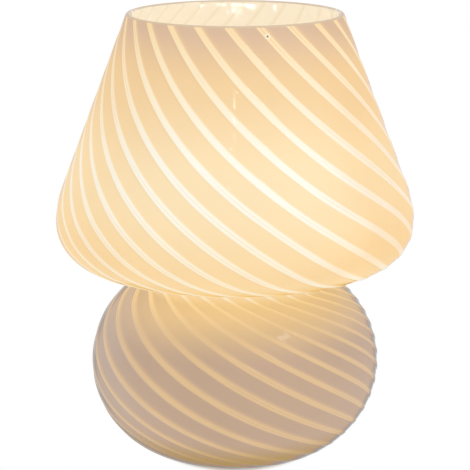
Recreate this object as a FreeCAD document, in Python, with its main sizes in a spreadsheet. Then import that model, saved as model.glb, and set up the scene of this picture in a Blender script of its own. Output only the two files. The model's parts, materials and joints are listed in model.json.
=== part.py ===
import FreeCAD
import Part
import Sketcher
import math
import os

# A table lamp blown in one piece of glass: a cone-sided shade over a round base, open at the top.
# Inside, a steel plate rests on the ledge of the neck and carries the lampholder and its bulb.
# Millimetres, +Z up, origin on the table under the middle of the lamp.

SIZES = {
    # the glass, with heights above the table
    "lamp_height": 240.0,
    "rim_radius": 57.0,
    "shade_round": 49.5,
    "shade_radius": 95.8,
    "lip_round": 23.0,
    "shade_rise": 30.3,
    "neck_round": 5.0,
    "neck_rise": 48.0,
    "base_radius": 77.8,
    "base_level": 51.0,
    "foot_radius": 37.0,
    "glass_wall": 3.0,
    "floor_thick": 6.0,
    "punt_radius": 25.0,
    "punt_depth": 3.0,
    "rim_polish": 1.3,
    "inlet_tilt": 33.0,
    "inlet_radius": 5.0,
    # rubber bush in the cord hole
    "bush_bore": 3.4,
    "bush_flange": 8.0,
    "bush_flange_thick": 1.5,
    "bush_back_gap": 0.8,
    # clear pads under the foot
    "pad_radius": 4.5,
    "pad_thick": 1.0,
    # plate and its edge seal, which pass the mouth and rest in the neck
    "mouth_clearance": 1.2,
    "seat_gap": 0.3,
    "ledge": 3.5,
    "seal_back": 1.5,
    "seal_width": 4.5,
    "seal_lip": 1.2,
    "seal_bevel": 1.4,
    "plate_thick": 1.5,
    "plate_ring": 8.0,
    "hub_radius": 18.0,
    "arm_width": 12.0,
    "window_round": 3.0,
    # threaded tube, nut and toothed washer that clamp the holder to the plate
    "tube_radius": 4.9,
    "tube_bore": 3.5,
    "tube_end": 1.6,
    "thread_gap": 0.08,
    "nut_flats": 14.0,
    "nut_thick": 3.0,
    "nut_chamfer": 0.5,
    "washer_radius": 8.6,
    "washer_thick": 0.8,
    "washer_notch": 1.4,
    # lampholder
    "holder_radius": 13.0,
    "holder_wall": 1.5,
    "cap_floor": 3.4,
    "cap_shoulder": 8.5,
    "boss_wall": 1.6,
    "boss_height": 6.0,
    "spigot_height": 4.0,
    "core_ledge": 0.8,
    "holder_bevel": 1.2,
    "core_foot": 1.9,
    "shell_wall": 0.4,
    "shell_height": 17.0,
    "shell_flange": 1.8,
    "shell_flange_thick": 0.5,
    "skirt_flange_thick": 1.6,
    "skirt_height": 28.0,
    "slack": 0.1,
    "leaf_thick": 0.4,
    "leaf_width": 3.2,
    "leaf_rise": 2.0,
    "screw_shank": 1.0,
    "screw_head": 1.5,
    "screw_head_thick": 1.4,
    "screw_circle": 7.3,
    "grub_radius": 1.0,
    # screw-in globe bulb, with heights above its tip contact
    "thread_radius": 6.9,
    "thread_slack": 0.1,
    "tip_radius": 2.2,
    "tip_flat": 1.5,
    "tip_height": 1.6,
    "insulator_radius": 5.6,
    "insulator_height": 3.2,
    "insulator_band": 1.1,
    "bulb_cap_height": 15.2,
    "bulb_cap_wall": 0.4,
    "bulb_cap_flare": 1.6,
    "collar_spigot": 7.0,
    "collar_spigot_wall": 1.2,
    "collar_wall": 1.5,
    "collar_step": 1.0,
    "collar_waist_height": 4.0,
    "collar_rim": 3.5,
    "globe_radius": 22.5,
    "globe_wall": 1.0,
    "globe_seat": 16.0,
    "bulb_length": 78.0,
    "board_thick": 1.6,
    "led_side": 2.8,
    "led_height": 0.7,
    "led_circle": 8.5,
    "driver_margin": 2.0,
    "driver_thick": 1.2,
    "driver_foot_gap": 3.2,
    "capacitor_radius": 3.2,
}

PAD_COUNT = 4
ARM_COUNT = 3
NOTCH_COUNT = 12
LED_COUNT = 6
ON_AXIS = 1e-9
SHEET = "Sizes"


class Dim:
    """A size that carries its number and its formula in the sheet."""

    def __init__(self, number, formula):
        self.number = float(number)
        self.formula = formula

    def __add__(self, other):
        other = as_dim(other)
        return Dim(self.number + other.number, f"({self.formula} + {other.formula})")

    def __sub__(self, other):
        other = as_dim(other)
        return Dim(self.number - other.number, f"({self.formula} - {other.formula})")

    def __mul__(self, other):
        other = as_dim(other)
        return Dim(self.number * other.number, f"({self.formula} * {other.formula})")

    def __truediv__(self, other):
        other = as_dim(other)
        return Dim(self.number / other.number, f"({self.formula} / {other.formula})")

    def __neg__(self):
        return Dim(-self.number, f"(0 - {self.formula})")


def as_dim(value):
    if isinstance(value, Dim):
        return value
    return Dim(value, repr(float(value)))


def root(value):
    return Dim(math.sqrt(value.number), f"sqrt({value.formula})")


def sine(value):
    return Dim(math.sin(math.radians(value.number)), f"sin({value.formula})")


def cosine(value):
    return Dim(math.cos(math.radians(value.number)), f"cos({value.formula})")


def size(name):
    return Dim(SIZES[name], f"{SHEET}.{name}")


def make_sheet(doc):
    sheet = doc.addObject("Spreadsheet::Sheet", SHEET)
    for row, (name, value) in enumerate(SIZES.items(), start=1):
        sheet.set(f"A{row}", name)
        sheet.set(f"B{row}", str(value))
        sheet.setAlias(f"B{row}", name)
    doc.recompute()
    return sheet


# ---- tools for bodies and sketches ----

def origin_plane(body, role):
    return next(item for item in body.Origin.OriginFeatures if item.Role == role)


def new_body(doc, label):
    body = doc.addObject("PartDesign::Body", label)
    body.Label = label
    return body


def new_sketch(body, name, role="XZ_Plane"):
    sketch = body.newObject("Sketcher::SketchObject", name)
    sketch.AttachmentSupport = [(origin_plane(body, role), "")]
    sketch.MapMode = "FlatFace"
    return sketch


def constrain(sketch, *terms):
    return sketch.addConstraint(Sketcher.Constraint(*terms))


def bind(sketch, value, kind, *terms):
    """Add a constraint with a size and tie it to the sheet."""
    index = constrain(sketch, kind, *terms, value.number)
    sketch.setExpression(f"Constraints[{index}]", value.formula)


def pin_level(sketch, geometry, end, value, kind="DistanceY", axis=-1):
    """Hold a point at a coordinate: DistanceY from the H axis, or DistanceX from the V axis."""
    if abs(value.number) < ON_AXIS:
        constrain(sketch, "PointOnObject", geometry, end, axis)
    elif value.number > 0:
        bind(sketch, value, kind, -1, 1, geometry, end)
    else:
        bind(sketch, -value, kind, geometry, end, -1, 1)


def pin_point(sketch, geometry, end, x, y):
    pin_level(sketch, geometry, end, x, "DistanceX", -2)
    pin_level(sketch, geometry, end, y, "DistanceY", -1)


def draw_polygon(sketch, corners):
    """Draw a closed outline of straight edges through corners, each tied to the sheet."""
    corners = [(as_dim(x), as_dim(y)) for x, y in corners]
    points = [FreeCAD.Vector(x.number, y.number, 0) for x, y in corners]
    first = sketch.GeometryCount
    for start, end in zip(points, points[1:] + points[:1]):
        sketch.addGeometry(Part.LineSegment(start, end), False)
    count = len(points)
    for index in range(count):
        following = (index + 1) % count
        constrain(sketch, "Coincident", first + index, 2, first + following, 1)
    for index, (x, y) in enumerate(corners):
        pin_point(sketch, first + index, 1, x, y)


def draw_circle(sketch, radius, x=0, y=0):
    x, y, radius = as_dim(x), as_dim(y), as_dim(radius)
    centre = FreeCAD.Vector(x.number, y.number, 0)
    circle = Part.Circle(centre, FreeCAD.Vector(0, 0, 1), radius.number)
    index = sketch.addGeometry(circle, False)
    pin_point(sketch, index, 3, x, y)
    bind(sketch, radius, "Radius", index)


def add_feature(body, kind, name, sketch, **options):
    feature = body.newObject(f"PartDesign::{kind}", name)
    feature.Profile = sketch
    for option, value in options.items():
        if isinstance(value, Dim):
            feature.setExpression(option, value.formula)
        else:
            setattr(feature, option, value)
    return feature


def turn(body, sketch, name):
    return add_feature(body, "Revolution", name, sketch, ReferenceAxis=(sketch, ["V_Axis"]), Angle=360)


def dress(body, base, kind, name, edges, **options):
    """Round or bevel the edges that the list names, on top of a feature."""
    feature = body.newObject(f"PartDesign::{kind}", name)
    feature.Base = (base, edges)
    for option, value in options.items():
        feature.setExpression(option, value.formula)
    return feature


def ring_edges(shape, places):
    """Names of the circular edges about the axis with these radii and levels."""
    names = []
    for number, edge in enumerate(shape.Edges, start=1):
        curve = edge.Curve
        if not isinstance(curve, Part.Circle):
            continue
        for radius, level in places:
            same_radius = abs(curve.Radius - as_dim(radius).number) < 1e-4
            same_level = abs(curve.Center.z - as_dim(level).number) < 1e-4
            if same_radius and same_level:
                names.append(f"Edge{number}")
    return sorted(set(names))


def upright_edges(shape, away):
    """Names of the straight edges along Z that are further than this from the axis."""
    names = []
    for number, edge in enumerate(shape.Edges, start=1):
        box = edge.BoundBox
        upright = max(box.XLength, box.YLength) < 1e-6
        if upright and math.hypot(box.Center.x, box.Center.y) > away:
            names.append(f"Edge{number}")
    return names


def place(item, level, x=0, y=0):
    for axis, value in (("x", x), ("y", y), ("z", level)):
        item.setExpression(f"Placement.Base.{axis}", as_dim(value).formula)


def turned(doc, label, corners, level):
    """A body turned about Z from an outline of straight edges."""
    body = new_body(doc, label)
    sketch = new_sketch(body, f"{label}_outline")
    draw_polygon(sketch, corners)
    turn(body, sketch, f"{label}_turn")
    place(body, level)
    return body


def compound(doc, label, items):
    group = doc.addObject("Part::Compound", label)
    group.Links = items
    group.Label = label
    return group


# ---- levels and radii that several pieces share ----

NECK_LEVEL = size("base_level") + size("neck_rise")
SHADE_LEVEL = NECK_LEVEL + size("shade_rise")
SEAL_RADIUS = size("rim_radius") - size("glass_wall") - size("mouth_clearance")
NECK_RADIUS = SEAL_RADIUS + size("glass_wall") - size("ledge")
NECK_CENTRE = NECK_RADIUS + size("neck_round")
BASE_SPAN = size("base_radius") - size("foot_radius")
BASE_DROP = size("base_level") - size("pad_thick")
BASE_LOW_ROUND = (BASE_SPAN * BASE_SPAN + BASE_DROP * BASE_DROP) / (BASE_SPAN * 2)
FOOT_MIDDLE = (size("foot_radius") + size("punt_radius")) / 2


def seal_level():
    """Underside of the edge seal, whose bevel at 45 degrees stands off the neck's inner bulge."""
    reach = size("neck_round") + size("glass_wall") + size("seat_gap")
    across = NECK_CENTRE - SEAL_RADIUS
    return NECK_LEVEL + reach * root(as_dim(2)) - across - size("seal_bevel")


SEAL_LEVEL = seal_level()
PLATE_LEVEL = SEAL_LEVEL + size("seal_lip")
HOLDER_LEVEL = PLATE_LEVEL + size("plate_thick")
PLATE_RADIUS = SEAL_RADIUS - size("seal_back")
WASHER_LEVEL = PLATE_LEVEL - size("washer_thick")
NUT_LEVEL = WASHER_LEVEL - size("nut_thick")
TUBE_LEVEL = NUT_LEVEL - size("tube_end")
TUBE_HOLE = size("tube_radius") + size("thread_gap")

# the lampholder, from its own underside
BOSS_RADIUS = TUBE_HOLE + size("boss_wall")
SPIGOT_RADIUS = size("holder_radius") - size("holder_wall")
CAP_INNER = SPIGOT_RADIUS - size("holder_wall")
CAP_TOP = size("cap_shoulder") + size("spigot_height")
CORE_RADIUS = CAP_INNER - size("slack")
SHELL_BORE = size("thread_radius") + size("thread_slack")
SHELL_OUTER = SHELL_BORE + size("shell_wall")
CORE_TOP = CAP_TOP + size("core_foot")
SKIRT_FLANGE = CAP_TOP + size("shell_flange_thick") + size("slack")
SKIRT_TOP = size("cap_shoulder") + size("skirt_height")
LEAF_TOP = CORE_TOP + size("leaf_rise")
CAP_BORE = CAP_INNER - size("core_ledge")

# the bulb, from its tip contact
TIP_LEVEL = HOLDER_LEVEL + LEAF_TOP + size("seat_gap")
INSULATOR_TOP = size("tip_height") + size("insulator_height")
BULB_CAP_TOP = INSULATOR_TOP + size("bulb_cap_height")
BULB_CAP_BORE = size("thread_radius") - size("bulb_cap_wall")
COLLAR_WAIST = BULB_CAP_TOP + size("collar_waist_height")
GLOBE_LEVEL = size("bulb_length") - size("globe_radius")
COLLAR_TOP = GLOBE_LEVEL - size("globe_seat")
COLLAR_RADIUS = root(size("globe_radius") * size("globe_radius") - size("globe_seat") * size("globe_seat"))
COLLAR_SEAT = COLLAR_RADIUS - size("collar_wall")
BOARD_LEVEL = COLLAR_TOP - size("collar_rim")


# ---- the glass ----

def arc(centre, radius, start, end):
    circle = Part.Circle(FreeCAD.Vector(centre[0], centre[1], 0), FreeCAD.Vector(0, 0, 1), radius)
    return Part.ArcOfCircle(circle, start, end)


def line(start, end):
    return Part.LineSegment(FreeCAD.Vector(*start, 0), FreeCAD.Vector(*end, 0))


def polar(centre, radius, angle):
    return (centre[0] + radius * math.cos(angle), centre[1] + radius * math.sin(angle))


def glass_angles(shade, lip, neck, top, low):
    """Angles at which the arcs of the outline meet their neighbours, in radians."""
    rim = (SIZES["rim_radius"], SIZES["lamp_height"])
    away = math.hypot(rim[0] - shade[0], rim[1] - shade[1])
    bearing = math.atan2(rim[1] - shade[1], rim[0] - shade[0])
    side = bearing - math.acos(SIZES["shade_round"] / away)
    span = math.hypot(lip[0] - neck[0], lip[1] - neck[1])
    rise = math.atan2(lip[1] - neck[1], lip[0] - neck[0])
    under = rise - math.asin((SIZES["lip_round"] + SIZES["neck_round"]) / span)
    shoulder = math.atan2(neck[1] - top[1], neck[0] - top[0])
    foot = math.asin(BASE_DROP.number / BASE_LOW_ROUND.number)
    floor = low[1] - SIZES["pad_thick"] - SIZES["floor_thick"]
    inner_foot = math.asin(floor / (BASE_LOW_ROUND.number - SIZES["glass_wall"]))
    return side, under, shoulder, foot, inner_foot


def glass_skin(sketch, centres, angles, wall, foot_angle, level):
    """Draw one skin of the glass from the rim down to the foot and return its pieces by name."""
    shade, lip, neck, top, low = centres
    side, under, shoulder = angles
    shade_round = SIZES["shade_round"] - wall
    lip_round = SIZES["lip_round"] - wall
    neck_round = SIZES["neck_round"] + wall
    top_round = math.hypot(neck[0] - top[0], neck[1] - top[1]) - neck_round
    low_round = BASE_LOW_ROUND.number - wall
    meet = polar(shade, shade_round, side)
    rise = level - meet[1]
    rim = (meet[0] - rise * math.tan(side), level)
    quarter = math.pi / 2
    lip_end = polar(lip, lip_round, under - quarter)
    neck_start = polar(neck, neck_round, under + quarter)
    skin = {}
    skin["side"] = sketch.addGeometry(line(rim, meet), False)
    skin["shade"] = sketch.addGeometry(arc(shade, shade_round, 0, side), False)
    skin["lip"] = sketch.addGeometry(arc(lip, lip_round, under - quarter, 0), False)
    skin["under"] = sketch.addGeometry(line(lip_end, neck_start), False)
    skin["neck"] = sketch.addGeometry(arc(neck, neck_round, under + quarter, shoulder + math.pi), False)
    skin["top"] = sketch.addGeometry(arc(top, top_round, 0, shoulder), False)
    skin["low"] = sketch.addGeometry(arc(low, low_round, -foot_angle, 0), False)
    constrain(sketch, "Tangent", skin["side"], 2, skin["shade"], 2)
    constrain(sketch, "Tangent", skin["shade"], 1, skin["lip"], 2)
    constrain(sketch, "Tangent", skin["lip"], 1, skin["under"], 1)
    constrain(sketch, "Tangent", skin["under"], 2, skin["neck"], 1)
    constrain(sketch, "Tangent", skin["neck"], 2, skin["top"], 2)
    constrain(sketch, "Tangent", skin["top"], 1, skin["low"], 2)
    return skin


def draw_glass(sketch):
    """The section of the glass: tangent arcs outside, and the same arcs a wall's thickness inside."""
    shade = (SIZES["shade_radius"] - SIZES["shade_round"], SHADE_LEVEL.number)
    lip = (SIZES["shade_radius"] - SIZES["lip_round"], SHADE_LEVEL.number)
    neck = (NECK_CENTRE.number, NECK_LEVEL.number)
    across = neck[0] - SIZES["base_radius"]
    up = neck[1] - SIZES["base_level"]
    neck_round = SIZES["neck_round"]
    top_round = (across ** 2 + up ** 2 - neck_round ** 2) / (2 * (neck_round - across))
    top = (SIZES["base_radius"] - top_round, SIZES["base_level"])
    low = (SIZES["base_radius"] - BASE_LOW_ROUND.number, SIZES["base_level"])
    centres = (shade, lip, neck, top, low)
    side, under, shoulder, foot, inner_foot = glass_angles(*centres)
    angles = (side, under, shoulder)
    height = SIZES["lamp_height"]
    outer = glass_skin(sketch, centres, angles, 0.0, foot, height)
    inner = glass_skin(sketch, centres, angles, SIZES["glass_wall"], inner_foot, height)
    pin_point(sketch, outer["side"], 1, size("rim_radius"), size("lamp_height"))
    pin_point(sketch, outer["shade"], 1, size("shade_radius"), SHADE_LEVEL)
    constrain(sketch, "Horizontal", outer["shade"], 1, outer["shade"], 3)
    bind(sketch, size("shade_round"), "Radius", outer["shade"])
    bind(sketch, size("lip_round"), "Radius", outer["lip"])
    pin_point(sketch, outer["neck"], 3, NECK_CENTRE, NECK_LEVEL)
    bind(sketch, size("neck_round"), "Radius", outer["neck"])
    pin_point(sketch, outer["top"], 1, size("base_radius"), size("base_level"))
    constrain(sketch, "Horizontal", outer["top"], 1, outer["top"], 3)
    pin_point(sketch, outer["low"], 1, size("foot_radius"), size("pad_thick"))
    for name in ("shade", "lip", "neck", "top", "low"):
        constrain(sketch, "Coincident", inner[name], 3, outer[name], 3)
    bind(sketch, size("shade_round") - size("glass_wall"), "Radius", inner["shade"])
    constrain(sketch, "Parallel", inner["side"], outer["side"])
    constrain(sketch, "Parallel", inner["under"], outer["under"])
    pin_level(sketch, inner["side"], 1, size("lamp_height"))
    pin_level(sketch, inner["low"], 1, size("pad_thick") + size("floor_thick"))
    close_glass(sketch, outer, inner)


def close_glass(sketch, outer, inner):
    """Join the two skins: across the rim, and below with a flat foot, its punt and the floor."""
    def end_of(piece, end):
        point = sketch.getPoint(piece, end)
        return (point.x, point.y)

    foot = end_of(outer["low"], 1)
    punt = (SIZES["punt_radius"], foot[1])
    depth = SIZES["punt_depth"]
    dome = (punt[0] ** 2 + depth ** 2) / (2 * depth)
    crown = (0.0, foot[1] + depth)
    middle = (0.0, crown[1] - dome)
    lean = math.atan2(foot[1] - middle[1], punt[0])
    floor = end_of(inner["low"], 1)
    rim_line = sketch.addGeometry(line(end_of(inner["side"], 1), end_of(outer["side"], 1)), False)
    foot_line = sketch.addGeometry(line(foot, punt), False)
    punt_arc = sketch.addGeometry(arc(middle, dome, lean, math.pi / 2), False)
    axis_line = sketch.addGeometry(line(crown, (0.0, floor[1])), False)
    floor_line = sketch.addGeometry(line((0.0, floor[1]), floor), False)
    constrain(sketch, "Coincident", rim_line, 1, inner["side"], 1)
    constrain(sketch, "Coincident", rim_line, 2, outer["side"], 1)
    constrain(sketch, "Coincident", foot_line, 1, outer["low"], 1)
    constrain(sketch, "Coincident", foot_line, 2, punt_arc, 1)
    constrain(sketch, "Coincident", punt_arc, 2, axis_line, 1)
    constrain(sketch, "Coincident", axis_line, 2, floor_line, 1)
    constrain(sketch, "Coincident", floor_line, 2, inner["low"], 1)
    pin_point(sketch, foot_line, 2, size("punt_radius"), size("pad_thick"))
    constrain(sketch, "PointOnObject", punt_arc, 3, -2)
    pin_point(sketch, axis_line, 1, as_dim(0), size("pad_thick") + size("punt_depth"))
    constrain(sketch, "PointOnObject", axis_line, 2, -2)
    constrain(sketch, "Horizontal", floor_line)


def tilt_to_inlet(item, prefix, distance):
    """Point an item's Z axis out through the rear of the base, this far from the low arc's centre."""
    tilt = size("inlet_tilt")
    ahead = size("base_radius") - BASE_LOW_ROUND + distance * cosine(tilt)
    above = size("base_level") - distance * sine(tilt)
    turned_down = FreeCAD.Rotation(FreeCAD.Vector(1, 0, 0), -(90 + tilt.number))
    setattr(item, prefix, FreeCAD.Placement(FreeCAD.Vector(0, ahead.number, above.number), turned_down))
    item.setExpression(f"{prefix}.Rotation.Angle", (-(tilt + 90)).formula)
    item.setExpression(f"{prefix}.Base.y", ahead.formula)
    item.setExpression(f"{prefix}.Base.z", above.formula)


def make_glass(doc):
    body = new_body(doc, "glass_body")
    section = new_sketch(body, "glass_section")
    draw_glass(section)
    blown = turn(body, section, "glass_blown")
    doc.recompute()
    rim_edges = []
    for number, edge in enumerate(blown.Shape.Edges, start=1):
        box = edge.BoundBox
        if box.ZMin > SIZES["lamp_height"] - 1e-4 and box.ZLength < 1e-4:
            rim_edges.append(f"Edge{number}")
    dress(body, blown, "Fillet", "rim_polished", rim_edges, Radius=size("rim_polish"))
    doc.recompute()
    before = body.Tip.Shape.Volume
    drill = new_sketch(body, "inlet_drill", "XY_Plane")
    tilt_to_inlet(drill, "AttachmentOffset", as_dim(0))
    draw_circle(drill, size("inlet_radius"))
    hole = add_feature(body, "Pocket", "inlet_hole", drill, Type="Length", Reversed=True,
                       Length=BASE_LOW_ROUND + size("glass_wall"))
    doc.recompute()
    plug = math.pi * SIZES["inlet_radius"] ** 2 * SIZES["glass_wall"]
    if abs(before - hole.Shape.Volume - plug) > plug / 10:
        raise RuntimeError("the cord hole doesn't go through the wall")
    return body


def make_bush(doc):
    """Rubber bush in the cord hole: two flanges and a waist, with the cord's bore."""
    body = new_body(doc, "cord_bush")
    sketch = new_sketch(body, "bush_outline")
    flange = size("bush_flange_thick")
    waist = size("glass_wall") + size("bush_back_gap")
    hole = size("inlet_radius") - size("slack")
    draw_polygon(sketch, [
        (size("bush_bore"), 0),
        (size("bush_flange"), 0),
        (size("bush_flange"), flange),
        (hole, flange),
        (hole, flange + waist),
        (size("bush_flange"), flange + waist),
        (size("bush_flange"), flange + waist + flange),
        (size("bush_bore"), flange + waist + flange),
    ])
    turn(body, sketch, "bush_turn")
    tilt_to_inlet(body, "Placement", BASE_LOW_ROUND - waist - flange)
    return body


def make_pads(doc):
    pads = []
    for number in range(PAD_COUNT):
        pad = doc.addObject("Part::Cylinder", f"pad_{number + 1}")
        pad.setExpression("Radius", size("pad_radius").formula)
        pad.setExpression("Height", size("pad_thick").formula)
        angle = as_dim(45 + 360 * number / PAD_COUNT)
        place(pad, as_dim(0), FOOT_MIDDLE * cosine(angle), FOOT_MIDDLE * sine(angle))
        pads.append(pad)
    return compound(doc, "foot_pads", pads)


# ---- plate, seal and clamp ----

def make_seal(doc):
    """Silicone channel round the plate's edge, bevelled outside so that it centres in the neck."""
    inner = SEAL_RADIUS - size("seal_width")
    lip = size("seal_lip")
    top = lip + size("plate_thick")
    whole = top + lip
    bevel = size("seal_bevel")
    return turned(doc, "plate_seal", [
        (inner, 0),
        (SEAL_RADIUS - bevel, 0),
        (SEAL_RADIUS, bevel),
        (SEAL_RADIUS, whole - bevel),
        (SEAL_RADIUS - bevel, whole),
        (inner, whole),
        (inner, top),
        (PLATE_RADIUS, top),
        (PLATE_RADIUS, lip),
        (inner, lip),
    ], SEAL_LEVEL)


def draw_window(sketch):
    """One light window of the plate, below the X axis, between two arms with parallel sides."""
    half_arm = size("arm_width") / 2
    inner = size("hub_radius")
    outer = PLATE_RADIUS - size("plate_ring")
    half_turn = math.radians(180 / ARM_COUNT)
    slope = half_turn - math.pi / 2

    def corner(radius, side):
        along = math.sqrt(radius.number ** 2 - half_arm.number ** 2)
        x = along * math.cos(slope) - half_arm.number * math.sin(-slope)
        y = along * math.sin(slope) - half_arm.number * math.cos(-slope)
        return (side * x, y)

    def bearing(point):
        return math.atan2(point[1], point[0])

    low_left, low_right = corner(outer, -1), corner(outer, 1)
    top_left, top_right = corner(inner, -1), corner(inner, 1)
    rim = sketch.addGeometry(arc((0, 0), outer.number, bearing(low_left), bearing(low_right)), False)
    hub = sketch.addGeometry(arc((0, 0), inner.number, bearing(top_left), bearing(top_right)), False)
    right = sketch.addGeometry(line(top_right, low_right), False)
    left = sketch.addGeometry(line(top_left, low_left), False)
    for piece, radius in ((rim, outer), (hub, inner)):
        constrain(sketch, "Coincident", piece, 3, -1, 1)
        bind(sketch, radius, "Radius", piece)
    constrain(sketch, "Coincident", right, 1, hub, 2)
    constrain(sketch, "Coincident", right, 2, rim, 2)
    constrain(sketch, "Coincident", left, 1, hub, 1)
    constrain(sketch, "Coincident", left, 2, rim, 1)
    for side, lean in ((right, slope), (left, -math.pi - slope)):
        constrain(sketch, "Angle", side, lean)
        bind(sketch, half_arm, "Distance", -1, 1, side)


def make_plate(doc):
    """Steel carrier: a ring and a hub joined by arms, so that light reaches the base."""
    body = new_body(doc, "carrier_plate")
    disc = new_sketch(body, "plate_disc", "XY_Plane")
    draw_circle(disc, PLATE_RADIUS)
    draw_circle(disc, TUBE_HOLE)
    add_feature(body, "Pad", "plate_blank", disc, Length=size("plate_thick"))
    window = new_sketch(body, "window_outline", "XY_Plane")
    draw_window(window)
    cut = add_feature(body, "Pocket", "window", window, Type="Length", Reversed=True,
                      Length=size("plate_thick"))
    doc.recompute()
    ring = body.newObject("PartDesign::PolarPattern", "windows")
    ring.Originals = [cut]
    ring.Axis = (disc, ["N_Axis"])
    ring.Angle = 360
    ring.Occurrences = ARM_COUNT
    body.Tip = ring
    doc.recompute()
    corners = upright_edges(ring.Shape, SIZES["hub_radius"] - 1)
    dress(body, ring, "Fillet", "window_corners", corners, Radius=size("window_round"))
    place(body, PLATE_LEVEL)
    return body


def make_tube(doc):
    """Hollow threaded tube through the plate: the cord comes up through it."""
    length = HOLDER_LEVEL + size("boss_height") - TUBE_LEVEL
    bore, outer = size("tube_bore"), size("tube_radius")
    corners = [(bore, 0), (outer, 0), (outer, length), (bore, length)]
    return turned(doc, "threaded_tube", corners, TUBE_LEVEL)


def make_nut(doc):
    body = new_body(doc, "tube_nut")
    sketch = new_sketch(body, "nut_outline", "XY_Plane")
    half = size("nut_flats") / 2
    points = [(half / cosine(as_dim(30)) * cosine(as_dim(60 * step)),
               half / cosine(as_dim(30)) * sine(as_dim(60 * step))) for step in range(6)]
    draw_polygon(sketch, points)
    draw_circle(sketch, TUBE_HOLE)
    pad = add_feature(body, "Pad", "nut_blank", sketch, Length=size("nut_thick"))
    doc.recompute()
    edges = ring_edges(pad.Shape, [(TUBE_HOLE, 0), (TUBE_HOLE, size("nut_thick"))])
    dress(body, pad, "Chamfer", "nut_bevel", edges, Size=size("nut_chamfer"))
    place(body, NUT_LEVEL)
    return body


def make_washer(doc):
    """Toothed washer: notches round its edge."""
    body = new_body(doc, "toothed_washer")
    disc = new_sketch(body, "washer_disc", "XY_Plane")
    draw_circle(disc, size("washer_radius"))
    draw_circle(disc, TUBE_HOLE)
    add_feature(body, "Pad", "washer_blank", disc, Length=size("washer_thick"))
    notch = new_sketch(body, "notch_outline", "XY_Plane")
    half = size("washer_notch") / 2
    inner = size("washer_radius") - size("washer_notch")
    outer = size("washer_radius") + size("washer_notch")
    draw_polygon(notch, [(inner, -half), (outer, -half), (outer, half), (inner, half)])
    cut = add_feature(body, "Pocket", "notch", notch, Type="Length", Reversed=True,
                      Length=size("washer_thick"))
    doc.recompute()
    ring = body.newObject("PartDesign::PolarPattern", "notches")
    ring.Originals = [cut]
    ring.Axis = (disc, ["N_Axis"])
    ring.Angle = 360
    ring.Occurrences = NOTCH_COUNT
    body.Tip = ring
    place(body, WASHER_LEVEL)
    return body


# ---- lampholder ----

def make_holder_cap(doc):
    """Lower half of the holder: a boss that screws on to the tube, a ledge for the core, a spigot."""
    bevel = size("holder_bevel")
    body = turned(doc, "holder_cap", [
        (TUBE_HOLE, 0),
        (size("holder_radius") - bevel, 0),
        (size("holder_radius"), bevel),
        (size("holder_radius"), size("cap_shoulder")),
        (SPIGOT_RADIUS, size("cap_shoulder")),
        (SPIGOT_RADIUS, CAP_TOP),
        (CAP_INNER, CAP_TOP),
        (CAP_INNER, size("cap_shoulder")),
        (CAP_BORE, size("cap_shoulder")),
        (CAP_BORE, size("cap_floor")),
        (BOSS_RADIUS, size("cap_floor")),
        (BOSS_RADIUS, size("boss_height")),
        (TUBE_HOLE, size("boss_height")),
    ], HOLDER_LEVEL)
    base = body.Tip
    sketch = new_sketch(body, "grub_hole_outline", "YZ_Plane")
    draw_circle(sketch, size("grub_radius") + size("slack"), 0, size("cap_floor") / 2)
    hole = add_feature(body, "Pocket", "grub_hole", sketch, Type="Length", Reversed=True,
                       Length=size("holder_radius") + size("holder_wall"))
    doc.recompute()
    if hole.Shape.Volume > base.Shape.Volume - 1e-3:
        raise RuntimeError("the grub screw's hole cuts nothing")
    return body


def make_grub(doc):
    """Locking screw that bears on the threaded tube, across the holder's floor."""
    screw = doc.addObject("Part::Cylinder", "grub_screw")
    screw.Label = "grub_screw"
    screw.setExpression("Radius", size("grub_radius").formula)
    length = size("holder_radius") - size("tube_radius") - size("slack") * 2
    screw.setExpression("Height", length.formula)
    screw.Placement.Rotation = FreeCAD.Rotation(FreeCAD.Vector(0, 1, 0), 90)
    place(screw, HOLDER_LEVEL + size("cap_floor") / 2, size("tube_radius") + size("slack"))
    return screw


def make_core(doc):
    """Insulating core on the cap's ledge, with holes for the terminal screws."""
    body = turned(doc, "holder_core", [
        (0, size("cap_shoulder")),
        (CORE_RADIUS, size("cap_shoulder")),
        (CORE_RADIUS, CAP_TOP),
        (SHELL_BORE - size("slack"), CAP_TOP),
        (SHELL_BORE - size("slack"), CORE_TOP),
        (0, CORE_TOP),
    ], HOLDER_LEVEL)
    sketch = new_sketch(body, "screw_hole_outline", "XY_Plane")
    draw_circle(sketch, size("screw_shank") + size("slack"), size("screw_circle"), 0)
    draw_circle(sketch, size("screw_shank") + size("slack"), -size("screw_circle"), 0)
    add_feature(body, "Pocket", "screw_holes", sketch, Type="Length", Reversed=True, Length=CAP_TOP)
    return body


def make_terminal_screws(doc):
    """Two terminal screws, heads below the core."""
    screws = []
    for number, side in ((1, 1), (2, -1)):
        head = doc.addObject("Part::Cylinder", f"screw_head_{number}")
        head.setExpression("Radius", size("screw_head").formula)
        head.setExpression("Height", size("screw_head_thick").formula)
        level = HOLDER_LEVEL + size("cap_shoulder") - size("screw_head_thick")
        place(head, level, size("screw_circle") * side)
        shank = doc.addObject("Part::Cylinder", f"screw_shank_{number}")
        shank.setExpression("Radius", size("screw_shank").formula)
        length = size("screw_head_thick") + size("spigot_height") - size("slack")
        shank.setExpression("Height", length.formula)
        place(shank, level, size("screw_circle") * side)
        screw = doc.addObject("Part::Fuse", f"terminal_screw_{number}")
        screw.Base, screw.Tool = head, shank
        screws.append(screw)
    return compound(doc, "terminal_screws", screws)


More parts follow.
